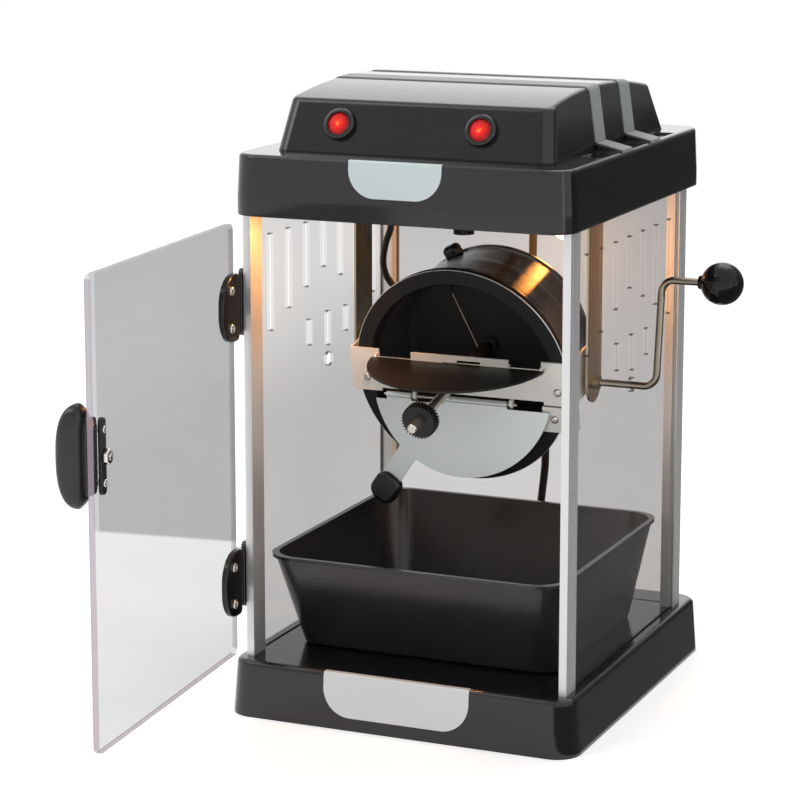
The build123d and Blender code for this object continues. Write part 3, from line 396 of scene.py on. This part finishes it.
# Base tub, head frame and head lid: gloss black injection mouldings, drawn in towards the top.
# The tub's cover is screwed in from below and stands on four rubber feet.
def gloss_plastic(name, dark, light, rough, shine=0.5, coat=0.0, edge=0.0008):
    """Moulded gloss plastic: faint orange peel, thin handling smears that change the gloss, a few specks of
    dust, and edges that catch the light as if rounded by the edge radius."""
    material, shader, place = finish(name, Specular_IOR_Level=shine, Coat_Weight=coat, Coat_Roughness=0.05)
    smear = place.noise(22.0, 4.0, (1.0, 1.0, 2.4))
    specks = place.noise(1400.0, 0.0).step(0.76, 0.82)
    wavy = place.noise(180.0, 1.0)
    rounded = place.node("ShaderNodeBevel", {"samples": 4}, {"Radius": edge})
    lay(shader, Base_Color=(smear + specks * 0.4).tint(dark, light),
        Roughness=rough + smear * 0.10 + specks * 0.2, Normal=bump(wavy, 0.05, 0.0002, rounded))
    return material


SHELL_EDGE = 0.0024
shell_black = gloss_plastic("shell_black", rgb(0.0070, 0.0070, 0.0076), rgb(0.0110, 0.0110, 0.0116), 0.09,
                            coat=0.1, edge=SHELL_EDGE)
wear(shell_black, "base_shell", "head_frame", "head_lid")
cover_black = gloss_plastic("cover_black", rgb(0.0060, 0.0060, 0.0060), rgb(0.011, 0.011, 0.011), 0.20)
wear(cover_black, "base_cover")


def grained(name, dark, light, rough, grain, depth):
    """Moulded or rubbery surface with an even fine grain."""
    material, shader, place = finish(name, Specular_IOR_Level=0.35)
    cloud = place.noise(45.0, 3.0)
    pits = place.noise(grain, 2.0)
    lay(shader, Base_Color=cloud.tint(dark, light), Roughness=rough + cloud * 0.12,
        Normal=bump(pits, 0.35, depth))
    return material


foot_rubber = grained("foot_rubber", rgb(0.018, 0.018, 0.018), rgb(0.034, 0.034, 0.034), 0.62, 900.0, 0.0005)
wear(foot_rubber, "rubber_feet")


# Silver plates and stripes: thin plain plastic plates, sprayed silver with a fine metallic flake.
# They are set into the black mouldings, and the stripes are darker.
def silver_spray(name, dark, light, rough, metallic):
    """Silver paint: fine flake in colour and gloss over a soft sheen."""
    material, shader, place = finish(name, Metallic=metallic, Specular_IOR_Level=0.4)
    flake = place.noise(2600.0, 1.0)
    cloud = place.noise(18.0, 2.0)
    lay(shader, Base_Color=(flake * 0.7 + cloud * 0.3).tint(dark, light), Roughness=rough + flake * 0.14)
    return material


head_silver = silver_spray("head_plate_silver", rgb(0.58, 0.66, 0.67), rgb(0.70, 0.77, 0.78), 0.34, 0.15)
wear(head_silver, "head_badge")
base_silver = silver_spray("base_plate_silver", rgb(0.72, 0.74, 0.75), rgb(0.85, 0.87, 0.88), 0.34, 0.1)
wear(base_silver, "base_badge")
stripe_silver = silver_spray("stripe_silver", rgb(0.25, 0.265, 0.27), rgb(0.33, 0.345, 0.35), 0.44, 0.05)
wear(stripe_silver, "head_stripes")


# Corner posts: satin anodised aluminium extrusions with long grooves, screwed between base and head.
# Their slots take the panes.
def drawn_metal(name, dark, light, rough, grain, metallic=1.0):
    """Metal with fine lines along one direction: noise squeezed across them, in colour, gloss and relief."""
    material, shader, place = finish(name, Metallic=metallic)
    lines = place.noise(1.0, 3.0, grain)
    cloud = place.noise(14.0, 2.0)
    lay(shader, Base_Color=(lines * 0.75 + cloud * 0.25).tint(dark, light),
        Roughness=rough - 0.06 + lines * 0.16 + cloud * 0.05, Normal=bump(lines, 0.06, 0.0002))
    return material


UPRIGHT_LINES = (1500.0, 1500.0, 12.0)
post_satin = drawn_metal("post_satin", rgb(0.67, 0.685, 0.68), rgb(0.83, 0.845, 0.84), 0.34,
                         UPRIGHT_LINES, 0.65)
wear(post_satin, "front_posts", "rear_posts")


# Side and rear panes: clear plastic sheet, faintly smoky, with the cooling slots cut through.
# They are slid into the grooves of the posts.
def clear_sheet(name, through, smoky, smoke_and_reflection_of, film, share_of):
    """See-through sheet: a clear layer, greyed by the share that smoke_and_reflection_of gives for a place on
    it: smoke on the side and rear panes, a painted reflection on the door. It lies under a film of dust. The
    film's share of the look is what share_of gives, plus 0.012 + 0.4 glance to the fifth."""
    material, shader, place = finish(name, Roughness=0.05, Specular_IOR_Level=0.5)
    tree = material.node_tree
    cloud = place.noise(9.0, 3.0)
    lay(shader, Base_Color=film(place, cloud))
    glance = place.node("ShaderNodeLayerWeight", {}, {"Blend": 0.5}, 1)
    share = 0.012 + place.maths("POWER", glance, 5.0) * 0.4 + share_of(place, cloud)
    clear = place.node("ShaderNodeBsdfTransparent", {}, {"Color": through})
    # On the door, this smoky layer is a painted reflection.
    smoke = place.node("ShaderNodeBsdfTransparent", {}, {"Color": smoky})
    layer = place.node("ShaderNodeMixShader", {}, {0: smoke_and_reflection_of(place, cloud), 1: clear, 2: smoke})
    mixed = place.node("ShaderNodeMixShader", {}, {0: share, 1: layer})
    tree.links.new(shader.outputs[0], mixed.socket.node.inputs[2])
    tree.links.new(mixed.socket, tree.nodes["Material Output"].inputs["Surface"])
    return material


def facing(place, way):
    """1 where the surface looks along a way or against it, 0 where it is square to it."""
    normal = place.node("ShaderNodeNewGeometry", {}, {}, "True Normal")
    along = place.node("ShaderNodeVectorMath", {"operation": "DOT_PRODUCT"}, {0: normal, 1: way}, 1)
    return along.maths("ABSOLUTE", along).step(0.55, 0.80)


UPWARDS = (0.0, 0.0, 1.0)
SIDEWAYS = (1.0, 0.0, 0.0)


def pane_film(place, cloud):
    """Grey dust on the faces, and a burnt brown at the ends of the slots."""
    dust = cloud.tint(rgb(0.20, 0.20, 0.198), rgb(0.28, 0.28, 0.277))
    return facing(place, UPWARDS).tint(dust, rgb(0.050, 0.030, 0.022))


def pane_share(place, cloud):
    """A little of the film on the faces, and most of it at the ends of the slots."""
    return 0.012 + cloud * 0.02 + facing(place, UPWARDS) * 0.8


def side_smoke(place, cloud):
    """The left pane is smokier than the right one, most low down; the walls of its slots are clear."""
    x, z = (place.node("ShaderNodeSeparateXYZ", {}, {0: place}, number) for number in (0, 2))
    smoke = 0.26 + z.step(0.33, 0.19) * 0.60 + cloud * 0.12
    return facing(place, SIDEWAYS) * x.step(0.0, -0.05) * smoke


def rear_smoke(place, cloud):
    """Smoky all over, a little unevenly."""
    return 0.8 + cloud * 0.2


side_clear = clear_sheet("side_clear", rgb(0.935, 0.933, 0.928), rgb(0.645, 0.645, 0.645),
                         side_smoke, pane_film, pane_share)
wear(side_clear, "side_panes")
rear_clear = clear_sheet("rear_clear", rgb(0.78, 0.78, 0.78), rgb(0.718, 0.717, 0.717),
                         rear_smoke, pane_film, pane_share)
wear(rear_clear, "rear_pane")


# Lit switches: red translucent lenses, lit from within, that slide in black domed bezels.
# The bezels clip into the slope of the lid.
def lit_lens(name, centre):
    """Red lens lit from behind: yellow in the middle, deep red outside, with moulded facets round it."""
    material, shader, place = finish(name, Roughness=0.12, Specular_IOR_Level=0.25, Emission_Strength=1.0)
    away = place.node("ShaderNodeVectorMath", {"operation": "DISTANCE"}, {0: place, 1: centre}, 1)
    facets = place.node("ShaderNodeTexVoronoi", {}, {"Vector": place, "Scale": 420.0})
    far = away * 120.0 + facets * 0.16
    stops = [(0.0, rgb(1.0, 0.62, 0.05)), (0.14, rgb(0.90, 0.10, 0.02)), (0.34, rgb(0.60, 0.010, 0.008)),
             (0.85, rgb(0.22, 0.003, 0.003))]
    glow = place.node("ShaderNodeValToRGB", {"stops": stops}, {"Fac": far})
    lay(shader, Base_Color=glow, Emission_Color=glow, Normal=bump(facets, 0.5, 0.0006))
    return material


def set_on(shape, foot, way):
    """Local points, w along the way, put on a foot point: foot + u U + v V + w W, with U level."""
    w = unit(np.array(way))
    u = unit(np.cross((0.0, 0.0, 1.0), w))
    return foot + shape[..., :1] * u + shape[..., 1:2] * np.cross(w, u) + shape[..., 2:] * w


def round_shape(reach, high, around, wave=0.0, waves=0):
    """Rows of circles with the reach and height of a profile; wave lifts each row waves times round."""
    turn = np.arange(around) * 2 * pi / around
    rows = np.shape(reach)
    reach, high, wave = (np.broadcast_to(np.array(v, float), rows)[:, None] for v in (reach, high, wave))
    return np.stack((reach * np.cos(turn), reach * np.sin(turn), high + wave * np.cos(waves * turn)), -1)


def welded(made):
    """Merge the points that meet at poles."""
    work = bmesh.new()
    work.from_mesh(made.data)
    bmesh.ops.remove_doubles(work, verts=work.verts, dist=1e-6)
    bmesh.ops.recalc_face_normals(work, faces=work.faces)
    work.to_mesh(made.data)
    work.free()
    return made


LENS_R = 0.0075
LENS_TOP = 0.0056
LENS_DOME = 0.0016
LENS_RIB = 0.00022
LENS_RIBS = 16
LENS_ROWS = 22
LENS_FOOT = -0.008
BUTTON_LONG = 0.0136
AROUND = 96
BROW_WAY = (0.0, -0.938815, 0.344422)
for side in ("left", "right"):
    node = f"{side}_switch_button"
    low, high = (np.array(corner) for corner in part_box(node))
    middle = (low + high) / 2 + np.array(BROW_WAY) * (BUTTON_LONG / 2 - LENS_TOP)
    share = np.linspace(0.0, 1.0, LENS_ROWS)
    dome = LENS_TOP - LENS_DOME * share ** 4
    ribs = LENS_RIB * np.sin(pi * share) ** 2
    reach = np.concatenate((share * LENS_R, [LENS_R, 0.0]))
    rise = np.concatenate((dome, [LENS_FOOT, LENS_FOOT]))
    lens_shape = round_shape(reach, rise, AROUND, np.concatenate((ribs, [0.0, 0.0])), LENS_RIBS)
    lens_red = lit_lens(f"{side}_lens", tuple(middle + np.array(BROW_WAY) * LENS_TOP))
    lens = welded(grid_mesh(f"{side}_lens", set_on(lens_shape, middle, BROW_WAY), lens_red, close_v=True))
    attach(lens, f"{side}_switch")
    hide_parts(node)
bezel_black = gloss_plastic("bezel_black", rgb(0.004, 0.004, 0.004), rgb(0.010, 0.010, 0.010), 0.07, coat=0.3)
wear(bezel_black, "switch_bezels")

# Ceiling: a black coated steel plate under the head that carries the geared stirrer motor on top
# and the motor's black moulded pinion below.
CROSS_LINES = (10.0, 1300.0, 1300.0)
ceiling_steel = drawn_metal("ceiling_steel", rgb(0.45, 0.44, 0.42), rgb(0.62, 0.60, 0.57), 0.38, CROSS_LINES)
wear(ceiling_steel, "stir_motor")
ceiling_black = grained("ceiling_black", rgb(0.012, 0.012, 0.012), rgb(0.022, 0.022, 0.022), 0.40,
                        900.0, 0.0003)
wear(ceiling_black, "ceiling_plate")
gear_black = grained("gear_black", rgb(0.006, 0.006, 0.006), rgb(0.012, 0.011, 0.011), 0.30, 1100.0, 0.0003)
wear(gear_black, "drive_pinion")

# Lamp: a small frosted bulb in a black holder at the back of the ceiling.
# It lights the kettle and the posts with a warm glow. A second, wide light under the ceiling
# throws that glow as far as the left front post.
LAMP_WARM = (1.0, 0.40, 0.11)
LAMP_WATTS = 1.8
LAMP_DROP = 0.014
SPILL_WATTS = 0.9
SPILL_SPREAD = 165.0
SPILL_AT = (-0.055, -0.085, 0.338)
SPILL_LEAN = (-18.0, 28.0)
bulb_glass, bulb_shader, bulb_place = finish("bulb_glass", Roughness=0.2, Emission_Strength=6.0)
bulb_fade = bulb_place.noise(90.0, 2.0)
lay(bulb_shader, Base_Color=bulb_fade.tint(rgb(0.9, 0.6, 0.3), rgb(1.0, 0.8, 0.55)),
    Emission_Color=bulb_fade.tint(rgb(1.0, 0.34, 0.06), rgb(1.0, 0.42, 0.10)))
wear(bulb_glass, "lamp_bulb")
wear(gear_black, "lamp_holder")
bulb_low, bulb_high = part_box("lamp_bulb")
lamp = bpy.data.lights.new("lamp", "POINT")
lamp.energy = LAMP_WATTS
lamp.color = LAMP_WARM
lamp.shadow_soft_size = 0.012
lamp_glow = bpy.data.objects.new("lamp", lamp)
lamp_glow.location = ((bulb_low.x + bulb_high.x) / 2, (bulb_low.y + bulb_high.y) / 2, bulb_low.z - LAMP_DROP)
lamp_glow.visible_glossy = False
scene.collection.objects.link(lamp_glow)
spill = bpy.data.lights.new("lamp_spill", "SPOT")
spill.energy = SPILL_WATTS
spill.color = LAMP_WARM
spill.spot_size = radians(SPILL_SPREAD)
spill.spot_blend = 1.0
spill.shadow_soft_size = 0.01
spill_glow = bpy.data.objects.new("lamp_spill", spill)
spill_glow.location = SPILL_AT
spill_glow.rotation_euler = (radians(SPILL_LEAN[0]), radians(SPILL_LEAN[1]), 0.0)
scene.collection.objects.link(spill_glow)

# Hangers: steel straps with a brassy passivated film, screwed to the ceiling.
# Bronze bushes in them carry the kettle's pins.
STRAP_LINES = (800.0, 800.0, 4.0)
BUSH_LINES = (900.0, 60.0, 60.0)
strap_brassy = drawn_metal("strap_brassy", rgb(0.30, 0.24, 0.15), rgb(0.70, 0.60, 0.42), 0.20, STRAP_LINES)
wear(strap_brassy, "kettle_hangers")
bush_bronze = drawn_metal("bush_bronze", rgb(0.30, 0.20, 0.11), rgb(0.46, 0.33, 0.20), 0.30, BUSH_LINES)
wear(bush_bronze, "hanger_bushes")

# Kettle: a spun pot in an outer drum, both baked black, with a flat bright cover at the back
# and a bright bead round its flange. The heater and thermostat are inside the drum.
# It hangs on a pin and a crank rod and is tipped forward to serve.
MOUTH_AT = (0.0, -0.025895, 0.230963)
MOUTH_WAY = (0.0, -0.974370, -0.224951)


def above_mouth(place):
    """Height over the plane of the kettle's mouth, along the kettle's axis."""
    away = place.node("ShaderNodeVectorMath", {"operation": "SUBTRACT"}, {0: place, 1: MOUTH_AT})
    return away.node("ShaderNodeVectorMath", {"operation": "DOT_PRODUCT"}, {0: away, 1: MOUTH_WAY}, 1)


drum_black, drum_shader, drum_place = finish("drum_black", Specular_IOR_Level=0.5)
drum_cloud = drum_place.noise(26.0, 4.0)
spun_lines = drum_place.node("ShaderNodeTexNoise", {"noise_dimensions": "1D"},
                             {"W": above_mouth(drum_place), "Scale": 2400.0, "Detail": 2.0})
lay(drum_shader, Base_Color=drum_cloud.tint(rgb(0.0020, 0.0018, 0.0017), rgb(0.0040, 0.0036, 0.0032)),
    Roughness=0.06 + drum_cloud * 0.08, Normal=bump(spun_lines, 0.35, 0.0002))
wear(drum_black, "kettle_jacket")
pot_black, pot_shader, pot_place = finish("pot_black", Specular_IOR_Level=0.2)
pot_cloud = pot_place.noise(26.0, 4.0)
# Deeper inside the pot its coat is painted lighter: painted light that lifts the shade in there.
pot_painted_light = above_mouth(pot_place).step(-0.003, -0.014)
pot_coat_and_painted_light = pot_painted_light.tint(rgb(0.0125, 0.0122, 0.0120), rgb(0.050, 0.049, 0.048))
pot_grain = pot_place.noise(700.0, 2.0)
lay(pot_shader, Base_Color=pot_coat_and_painted_light, Roughness=0.38 + pot_cloud * 0.14, Normal=bump(pot_grain, 0.08, 0.0002))
wear(pot_black, "kettle_bowl")
wear(ceiling_steel, "thermostat", "heater_ring")
cap_black = gloss_plastic("cap_black", rgb(0.006, 0.006, 0.006), rgb(0.012, 0.012, 0.012), 0.16)
wear(cap_black, "thermostat_cap")
rim_bright = drawn_metal("rim_bright", rgb(0.62, 0.61, 0.58), rgb(0.78, 0.77, 0.73), 0.24, CROSS_LINES)
wear(rim_bright, "kettle_rear_cover")

FLANGE_R = 0.0803
BEAD_R = 0.0005
BEAD_LOW = -0.0006
BEAD_STEPS = 220
BEAD_SIDES = 10
MOUTH_UP = (0.0, -0.224951, 0.974370)


def on_kettle(x, y, h):
    """Place in the kettle's own measures, as it hangs tipped: the mouth's middle + x X + y Y + h H."""
    x, y, h = (np.asarray(v, float)[..., None] for v in (x, y, h))
    return np.array(MOUTH_AT) + x * np.array(SIDEWAYS) + y * np.array(MOUTH_UP) + h * np.array(MOUTH_WAY)


bead_turn = (np.arange(BEAD_STEPS) * 2 * pi / BEAD_STEPS)[:, None]
bead_round = (np.arange(BEAD_SIDES) * 2 * pi / BEAD_SIDES)[None, :]
bead_reach = FLANGE_R + BEAD_R * np.cos(bead_round)
bead_rise = BEAD_LOW + BEAD_R * np.sin(bead_round) + 0.0 * bead_turn
bead_points = on_kettle(bead_reach * np.cos(bead_turn), bead_reach * np.sin(bead_turn), bead_rise)
bead = grid_mesh("flange_bead", bead_points, rim_bright, close_u=True, close_v=True)
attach(bead, "kettle")


# Crossbar and lids: a folded bright steel bar over the mouth carries two hinge rods.
# The upper half lid is baked dark, with a pale hinge sleeve; the lower one is satin steel with a black grip.
def baked_coat(name, dark, light, rough, shine):
    """Baked coating on sheet metal: clouds of heat stain in colour and gloss, and a very fine grain."""
    material, shader, place = finish(name, Specular_IOR_Level=shine)
    cloud = place.noise(26.0, 4.0)
    fine = place.noise(700.0, 2.0)
    lay(shader, Base_Color=cloud.tint(dark, light), Roughness=rough + cloud * 0.12,
        Normal=bump(fine, 0.08, 0.0002))
    return material


flap_dark = baked_coat("flap_dark", rgb(0.0130, 0.0125, 0.0120), rgb(0.0200, 0.0190, 0.0185), 0.34, 0.3)
wear(flap_dark, "upper_flap")
pale_strip = grained("pale_strip", rgb(0.80, 0.78, 0.70), rgb(0.90, 0.88, 0.82), 0.40, 800.0, 0.0003)
wear(pale_strip, "flap_sleeve")
bar_pale = drawn_metal("bar_pale", rgb(0.82, 0.81, 0.76), rgb(0.93, 0.92, 0.87), 0.36, CROSS_LINES, 0.2)
wear(bar_pale, "crossbar")
lid_satin = drawn_metal("lid_satin", rgb(0.70, 0.745, 0.74), rgb(0.83, 0.87, 0.865), 0.38, CROSS_LINES, 0.45)
wear(lid_satin, "lower_lid")
grip_black = gloss_plastic("grip_black", rgb(0.006, 0.006, 0.006), rgb(0.011, 0.011, 0.011), 0.20)
wear(grip_black, "lid_grip")


# Rods and pins: nickel-plated steel, slightly yellowed by heat.
# The crank rod is bent twice and ends in a black ball knob outside the right pane.
def plating(name, dark, light, rough):
    """Plated steel: slightly warm, with faint polishing marks and dull spots."""
    material, shader, place = finish(name, Metallic=1.0)
    cloud = place.noise(70.0, 3.0)
    marks = place.noise(1200.0, 2.0, (1.0, 0.2, 1.0))
    lay(shader, Base_Color=cloud.tint(dark, light), Roughness=rough + cloud * 0.06 + marks * 0.05)
    return material


crank_nickel = plating("crank_nickel", rgb(0.24, 0.20, 0.16), rgb(0.36, 0.31, 0.26), 0.10)
wear(crank_nickel, "crank_rod", "trunnion_pin")
rod_nickel = plating("rod_nickel", rgb(0.50, 0.45, 0.38), rgb(0.68, 0.63, 0.56), 0.12)
wear(rod_nickel, "motor_shaft", "lid_rods", "hinge_pins")
knob_black = gloss_plastic("knob_black", rgb(0.004, 0.004, 0.004), rgb(0.008, 0.008, 0.008), 0.12, 0.3)
wear(knob_black, "crank_knob")

# Stirrer: a bright shaft down the middle of the pot, with a black gear on top and a wire at its foot.
# Inside the pot it is dark with baked oil.
stirrer_metal, stirrer_shader, stirrer_place = finish("stirrer_metal", Metallic=0.9)
clean = (above_mouth(stirrer_place) + stirrer_place.noise(220.0, 3.0) * 0.012).step(-0.004, 0.020)
lay(stirrer_shader, Base_Color=clean.tint(rgb(0.030, 0.024, 0.020), rgb(0.66, 0.61, 0.54)),
    Roughness=0.42 - clean * 0.30)
wear(stirrer_metal, "stirrer_shaft")
wire_nickel = plating("stirrer_wire_nickel", rgb(0.10, 0.075, 0.055), rgb(0.30, 0.24, 0.18), 0.22)
wear(wire_nickel, "stirrer_wire")
wear(gear_black, "stirrer_gear")

# Door: one clear acrylic panel with polished violet-tinged edges, and a painted grey reflection over its upper
# part.
# Black hinge leaves hold it on the left front post, and a black pull is clamped through it.
DOOR_FREE = -0.3699
DOOR_HINGED = -0.1447
DOOR_TOP = 0.3499
DOOR_FOOT = 0.0458
# Where the painted grey reflection on the door lies: the foot and rise of its lower line, and its ends.
REFLECTION_FOOT = 0.1277
REFLECTION_RISE = 0.283
REFLECTION_START = -0.1505
REFLECTION_END = -0.3640
EDGE_IN = 0.0002
EDGE_OUT = 0.0004
DOOR_EDGE = rgb(0.50, 0.40, 0.47)


def door_place(place):
    """The y and z of a place on the open door: how far out from the cabin, and how high."""
    return (place.node("ShaderNodeSeparateXYZ", {}, {0: place}, number) for number in (1, 2))


def door_rim(place):
    """1 on the four cut edges of the door as it stands open, 0 on its faces."""
    y, z = door_place(place)
    rim = y.step(DOOR_FREE + EDGE_IN, DOOR_FREE - EDGE_OUT)
    for edge in (y.step(DOOR_HINGED - EDGE_IN, DOOR_HINGED + EDGE_OUT),
                 z.step(DOOR_TOP - EDGE_IN, DOOR_TOP + EDGE_OUT),
                 z.step(DOOR_FOOT + EDGE_IN, DOOR_FOOT - EDGE_OUT)):
        rim = rim.maths("MAXIMUM", rim, edge)
    return rim


def door_film(place, cloud):
    """Grey dust on the faces, and a violet tinge on the cut edges."""
    dusty = cloud.tint(rgb(0.24, 0.25, 0.25), rgb(0.34, 0.35, 0.35))
    return door_rim(place).tint(dusty, DOOR_EDGE)


def door_painted_reflection(place, cloud):
    """Painted reflection: grey above a line that rises from the hinged side, REFLECTION_FOOT + REFLECTION_RISE
    (REFLECTION_START - y), and short of the free edge: with level streaks, and most low down."""
    y, z = door_place(place)
    line = (REFLECTION_START - y) * REFLECTION_RISE + REFLECTION_FOOT
    # The film mask here is the painted reflection, not a layer on the sheet.
    film = (z - line).step(-0.0015, 0.0015) * y.step(REFLECTION_END - 0.0006, REFLECTION_END + 0.0006)
    streaks = place.noise(1.0, 3.0, (6.0, 6.0, 90.0))
    return film * (0.66 + cloud * 0.14 + streaks * 0.10 + z.step(0.32, 0.17) * 0.34)


def door_share(place, cloud):
    """A little of the film on the faces, and more of it on the cut edges."""
    return 0.02 + cloud * 0.02 + door_rim(place) * 0.6


# The door's second colour is the grey of the painted reflection.
door_clear = clear_sheet("door_clear", rgb(0.860, 0.866, 0.874), rgb(0.645, 0.65, 0.652),
                         door_painted_reflection, door_film, door_share)
wear(door_clear, "door_panel")
pull_black = gloss_plastic("pull_black", rgb(0.006, 0.006, 0.006), rgb(0.012, 0.012, 0.012), 0.22)
wear(pull_black, "handle_plate")
hinge_black = gloss_plastic("hinge_black", rgb(0.005, 0.005, 0.005), rgb(0.011, 0.010, 0.010), 0.15)
wear(hinge_black, "door_hinges", "post_hinges")

# Screws and nut: nickel-plated pan heads with cross recesses on the hinges, the clamp strip and the crossbar.
# A hexagon nut in the middle of the clamp strip draws the pull tight against the panel.
HEAD_ROWS = 40
RECESS_HALF = 0.19
RECESS_LEAN = 0.07
RECESS_REACH = 0.66
RECESS_END = 0.10
RECESS_DEEP = 0.7
BOLT_END = ((0.0, 1.22), (0.3, 1.20), (0.46, 1.10), (0.5, 1.0), (0.52, 1.0), (0.9, 1.0))
NUT_RINGS = ((0.92, 1.0), (0.0, 1.0), (0.0, 0.0))


def pan_head(radius, height, turn):
    """Domed head over share t of its radius: height (1 - t^4)^0.4, less a cross cut 0.7 of that height."""
    share = np.concatenate((np.linspace(0.0, 1.0, HEAD_ROWS), [1.0, 0.0]))
    dome = height * (1 - share[:HEAD_ROWS] ** 4) ** 0.4
    shape = round_shape(share * radius, np.concatenate((dome, [0.0, 0.0])), AROUND)
    arms = np.sort(np.abs([shape[..., 0] * cos(turn) + shape[..., 1] * sin(turn),
                           shape[..., 1] * cos(turn) - shape[..., 0] * sin(turn)]), axis=0) / radius
    cut = np.clip((RECESS_HALF - arms[0]) / RECESS_LEAN, 0, 1)
    cut *= np.clip((RECESS_REACH - arms[1]) / RECESS_END, 0, 1)
    cut[HEAD_ROWS:] = 0.0
    shape[..., 2] -= RECESS_DEEP * height * cut
    return shape


def hexagon_nut(flat, height):
    """Hexagon, r = flat / cos of the angle from the middle of the nearest side, with a rounded bolt end."""
    turn = np.arange(AROUND) * 2 * pi / AROUND
    edge = flat / np.cos((turn + pi / 6) % (pi / 3) - pi / 6)
    shape = [round_shape([r * flat], [z * height], AROUND)[0] for r, z in BOLT_END]
    for z, grow in NUT_RINGS:
        level = np.full(AROUND, z * height)
        shape.append(np.stack((grow * edge * np.cos(turn), grow * edge * np.sin(turn), level), -1))
    return np.stack(shape)


def joined(name, grids, material, body, node):
    """One piece of several closed grids that stands for a CAD node: all their rows as one grid, without the
    faces between one grid's last row and the next one's first."""
    made = grid_mesh(name, np.concatenate(grids), material, close_v=True)
    joints = np.cumsum([len(grid) for grid in grids])[:-1]
    work = bmesh.new()
    work.from_mesh(made.data)
    work.faces.ensure_lookup_table()
    between = [work.faces[(row - 1) * AROUND + column] for row in joints for column in range(AROUND)]
    bmesh.ops.delete(work, geom=between, context="FACES")
    work.to_mesh(made.data)
    work.free()
    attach(welded(made), body)
    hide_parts(node)


DOOR_PIVOT = (-123.0, -133.5)
DOOR_TURN = radians(-85.6)
DOOR_INSIDE = -131.5
LEAF_FRONT = DOOR_INSIDE + 4.0
LEAF_SCREW_A = -98.0
LEAF_SCREW_Z = (85.0, 111.0, 279.0, 305.0)
LEAF_HEAD = (0.0034, 0.0019)
STRIP_FRONT = DOOR_INSIDE + 2.6
STRIP_A = 104.4
STRIP_SCREW_Z = (218.0, 252.0)
STRIP_HEAD = (0.0025, 0.0014)
NUT_Z = 235.0
NUT_SIZE = (0.0044, 0.0042)
BAR_SCREWS = ((-73.0, -6.0), (73.0, -6.0), (69.5, -27.0))
BAR_HEAD = (0.0030, 0.0018)
BAR_TOP = 0.0017


def on_door(a, y, z):
    """Place on the door in its closed measures, in millimetres, turned open about the hinge pins."""
    x, y, z = np.broadcast_arrays(a - DOOR_PIVOT[0], y - DOOR_PIVOT[1], z)
    return np.stack((DOOR_PIVOT[0] + x * cos(DOOR_TURN) - y * sin(DOOR_TURN),
                     DOOR_PIVOT[1] + x * sin(DOOR_TURN) + y * cos(DOOR_TURN), z), -1) * MM


screw_nickel = plating("screw_nickel", rgb(0.54, 0.52, 0.49), rgb(0.74, 0.73, 0.70), 0.14)
door_way = on_door(0.0, 1.0, 0.0) - on_door(0.0, 0.0, 0.0)
door_heads = [set_on(pan_head(*LEAF_HEAD, 0.4 + z), on_door(LEAF_SCREW_A, LEAF_FRONT, z), door_way)
              for z in LEAF_SCREW_Z]
door_heads += [set_on(pan_head(*STRIP_HEAD, z), on_door(STRIP_A, STRIP_FRONT, z), door_way)
               for z in STRIP_SCREW_Z]
door_heads.append(set_on(hexagon_nut(*NUT_SIZE), on_door(STRIP_A, STRIP_FRONT, NUT_Z), door_way))
joined("door_fasteners", door_heads, screw_nickel, "door", "door_screws")
bar_heads = [set_on(pan_head(*BAR_HEAD, x), on_kettle(x * MM, y * MM, BAR_TOP), MOUTH_WAY)
             for x, y in BAR_SCREWS]
joined("crossbar_fasteners", bar_heads, screw_nickel, "kettle", "crossbar_screws")
wear(screw_nickel, "cabinet_screws")

# Door pull: a black moulded pod, bowed along its length and rounded at its ends, on a narrower foot.
# It stands on the outer face, and the clamp strip's nut draws it tight.
PULL_AT = (109.5, 235.0)
PULL_HALF = (9.9, 33.4)
PULL_DEEP = 14.0
PULL_BACK = 5.2
PULL_GAP = 2.8
PULL_ROWS = 81
PULL_POWER = 0.62
CURL_FROM = 0.70
CURL_OVER = 0.30
PULL_FOOT = (7.0, 24.4)
PULL_FOOT_AT = 107.4
PULL_FOOT_POWER = 0.35
PULL_FOOT_IN = 1.0
DOOR_OUTSIDE = -135.5


def squarish(turn, power):
    """Unit outline between a circle (power 1) and a square (power 0)."""
    across, along = np.cos(turn), np.sin(turn)
    return np.sign(across) * np.abs(across) ** power, np.sign(along) * np.abs(along) ** power


pull_turn = (np.arange(AROUND) * 2 * pi / AROUND)[None, :]
pull_share = np.sin(np.linspace(-pi / 2, pi / 2, PULL_ROWS))[:, None]
pull_wide, pull_deep = squarish(pull_turn, PULL_POWER)
pull_back = PULL_GAP + PULL_BACK * np.clip((np.abs(pull_share) - CURL_FROM) / CURL_OVER, 0.0, 1.0) ** 2
pull_front = PULL_GAP + PULL_BACK + PULL_DEEP * (1 - np.abs(pull_share) ** 2.6) ** 0.5
pod = on_door(PULL_AT[0] + PULL_HALF[0] * (1 - pull_share ** 6) ** 0.5 * pull_wide,
              DOOR_OUTSIDE - pull_back - (pull_front - pull_back) * (1 + pull_deep) / 2,
              PULL_AT[1] + PULL_HALF[1] * pull_share)
foot_wide, foot_tall = squarish(pull_turn, PULL_FOOT_POWER)
foot_grow = np.array((0.0, 1.0, 1.0, 0.0))[:, None]
foot_high = PULL_GAP + PULL_FOOT_IN
foot_rise = np.array((0.0, 0.0, foot_high, foot_high))[:, None]
pull_foot = on_door(PULL_FOOT_AT + PULL_FOOT[0] * foot_grow * foot_wide, DOOR_OUTSIDE - foot_rise,
                    PULL_AT[1] + PULL_FOOT[1] * foot_grow * foot_tall)
joined("door_pull", [pod, pull_foot], pull_black, "door", "door_handle")

# Popcorn tray: a loose satin black moulded tray that stands on the base.
# Its walls lean out to a flat rim.
tray_satin = gloss_plastic("tray_satin", rgb(0.0130, 0.0130, 0.0135), rgb(0.0180, 0.0180, 0.0186),
                           0.17, 0.55)
wear(tray_satin, "popcorn_tray")
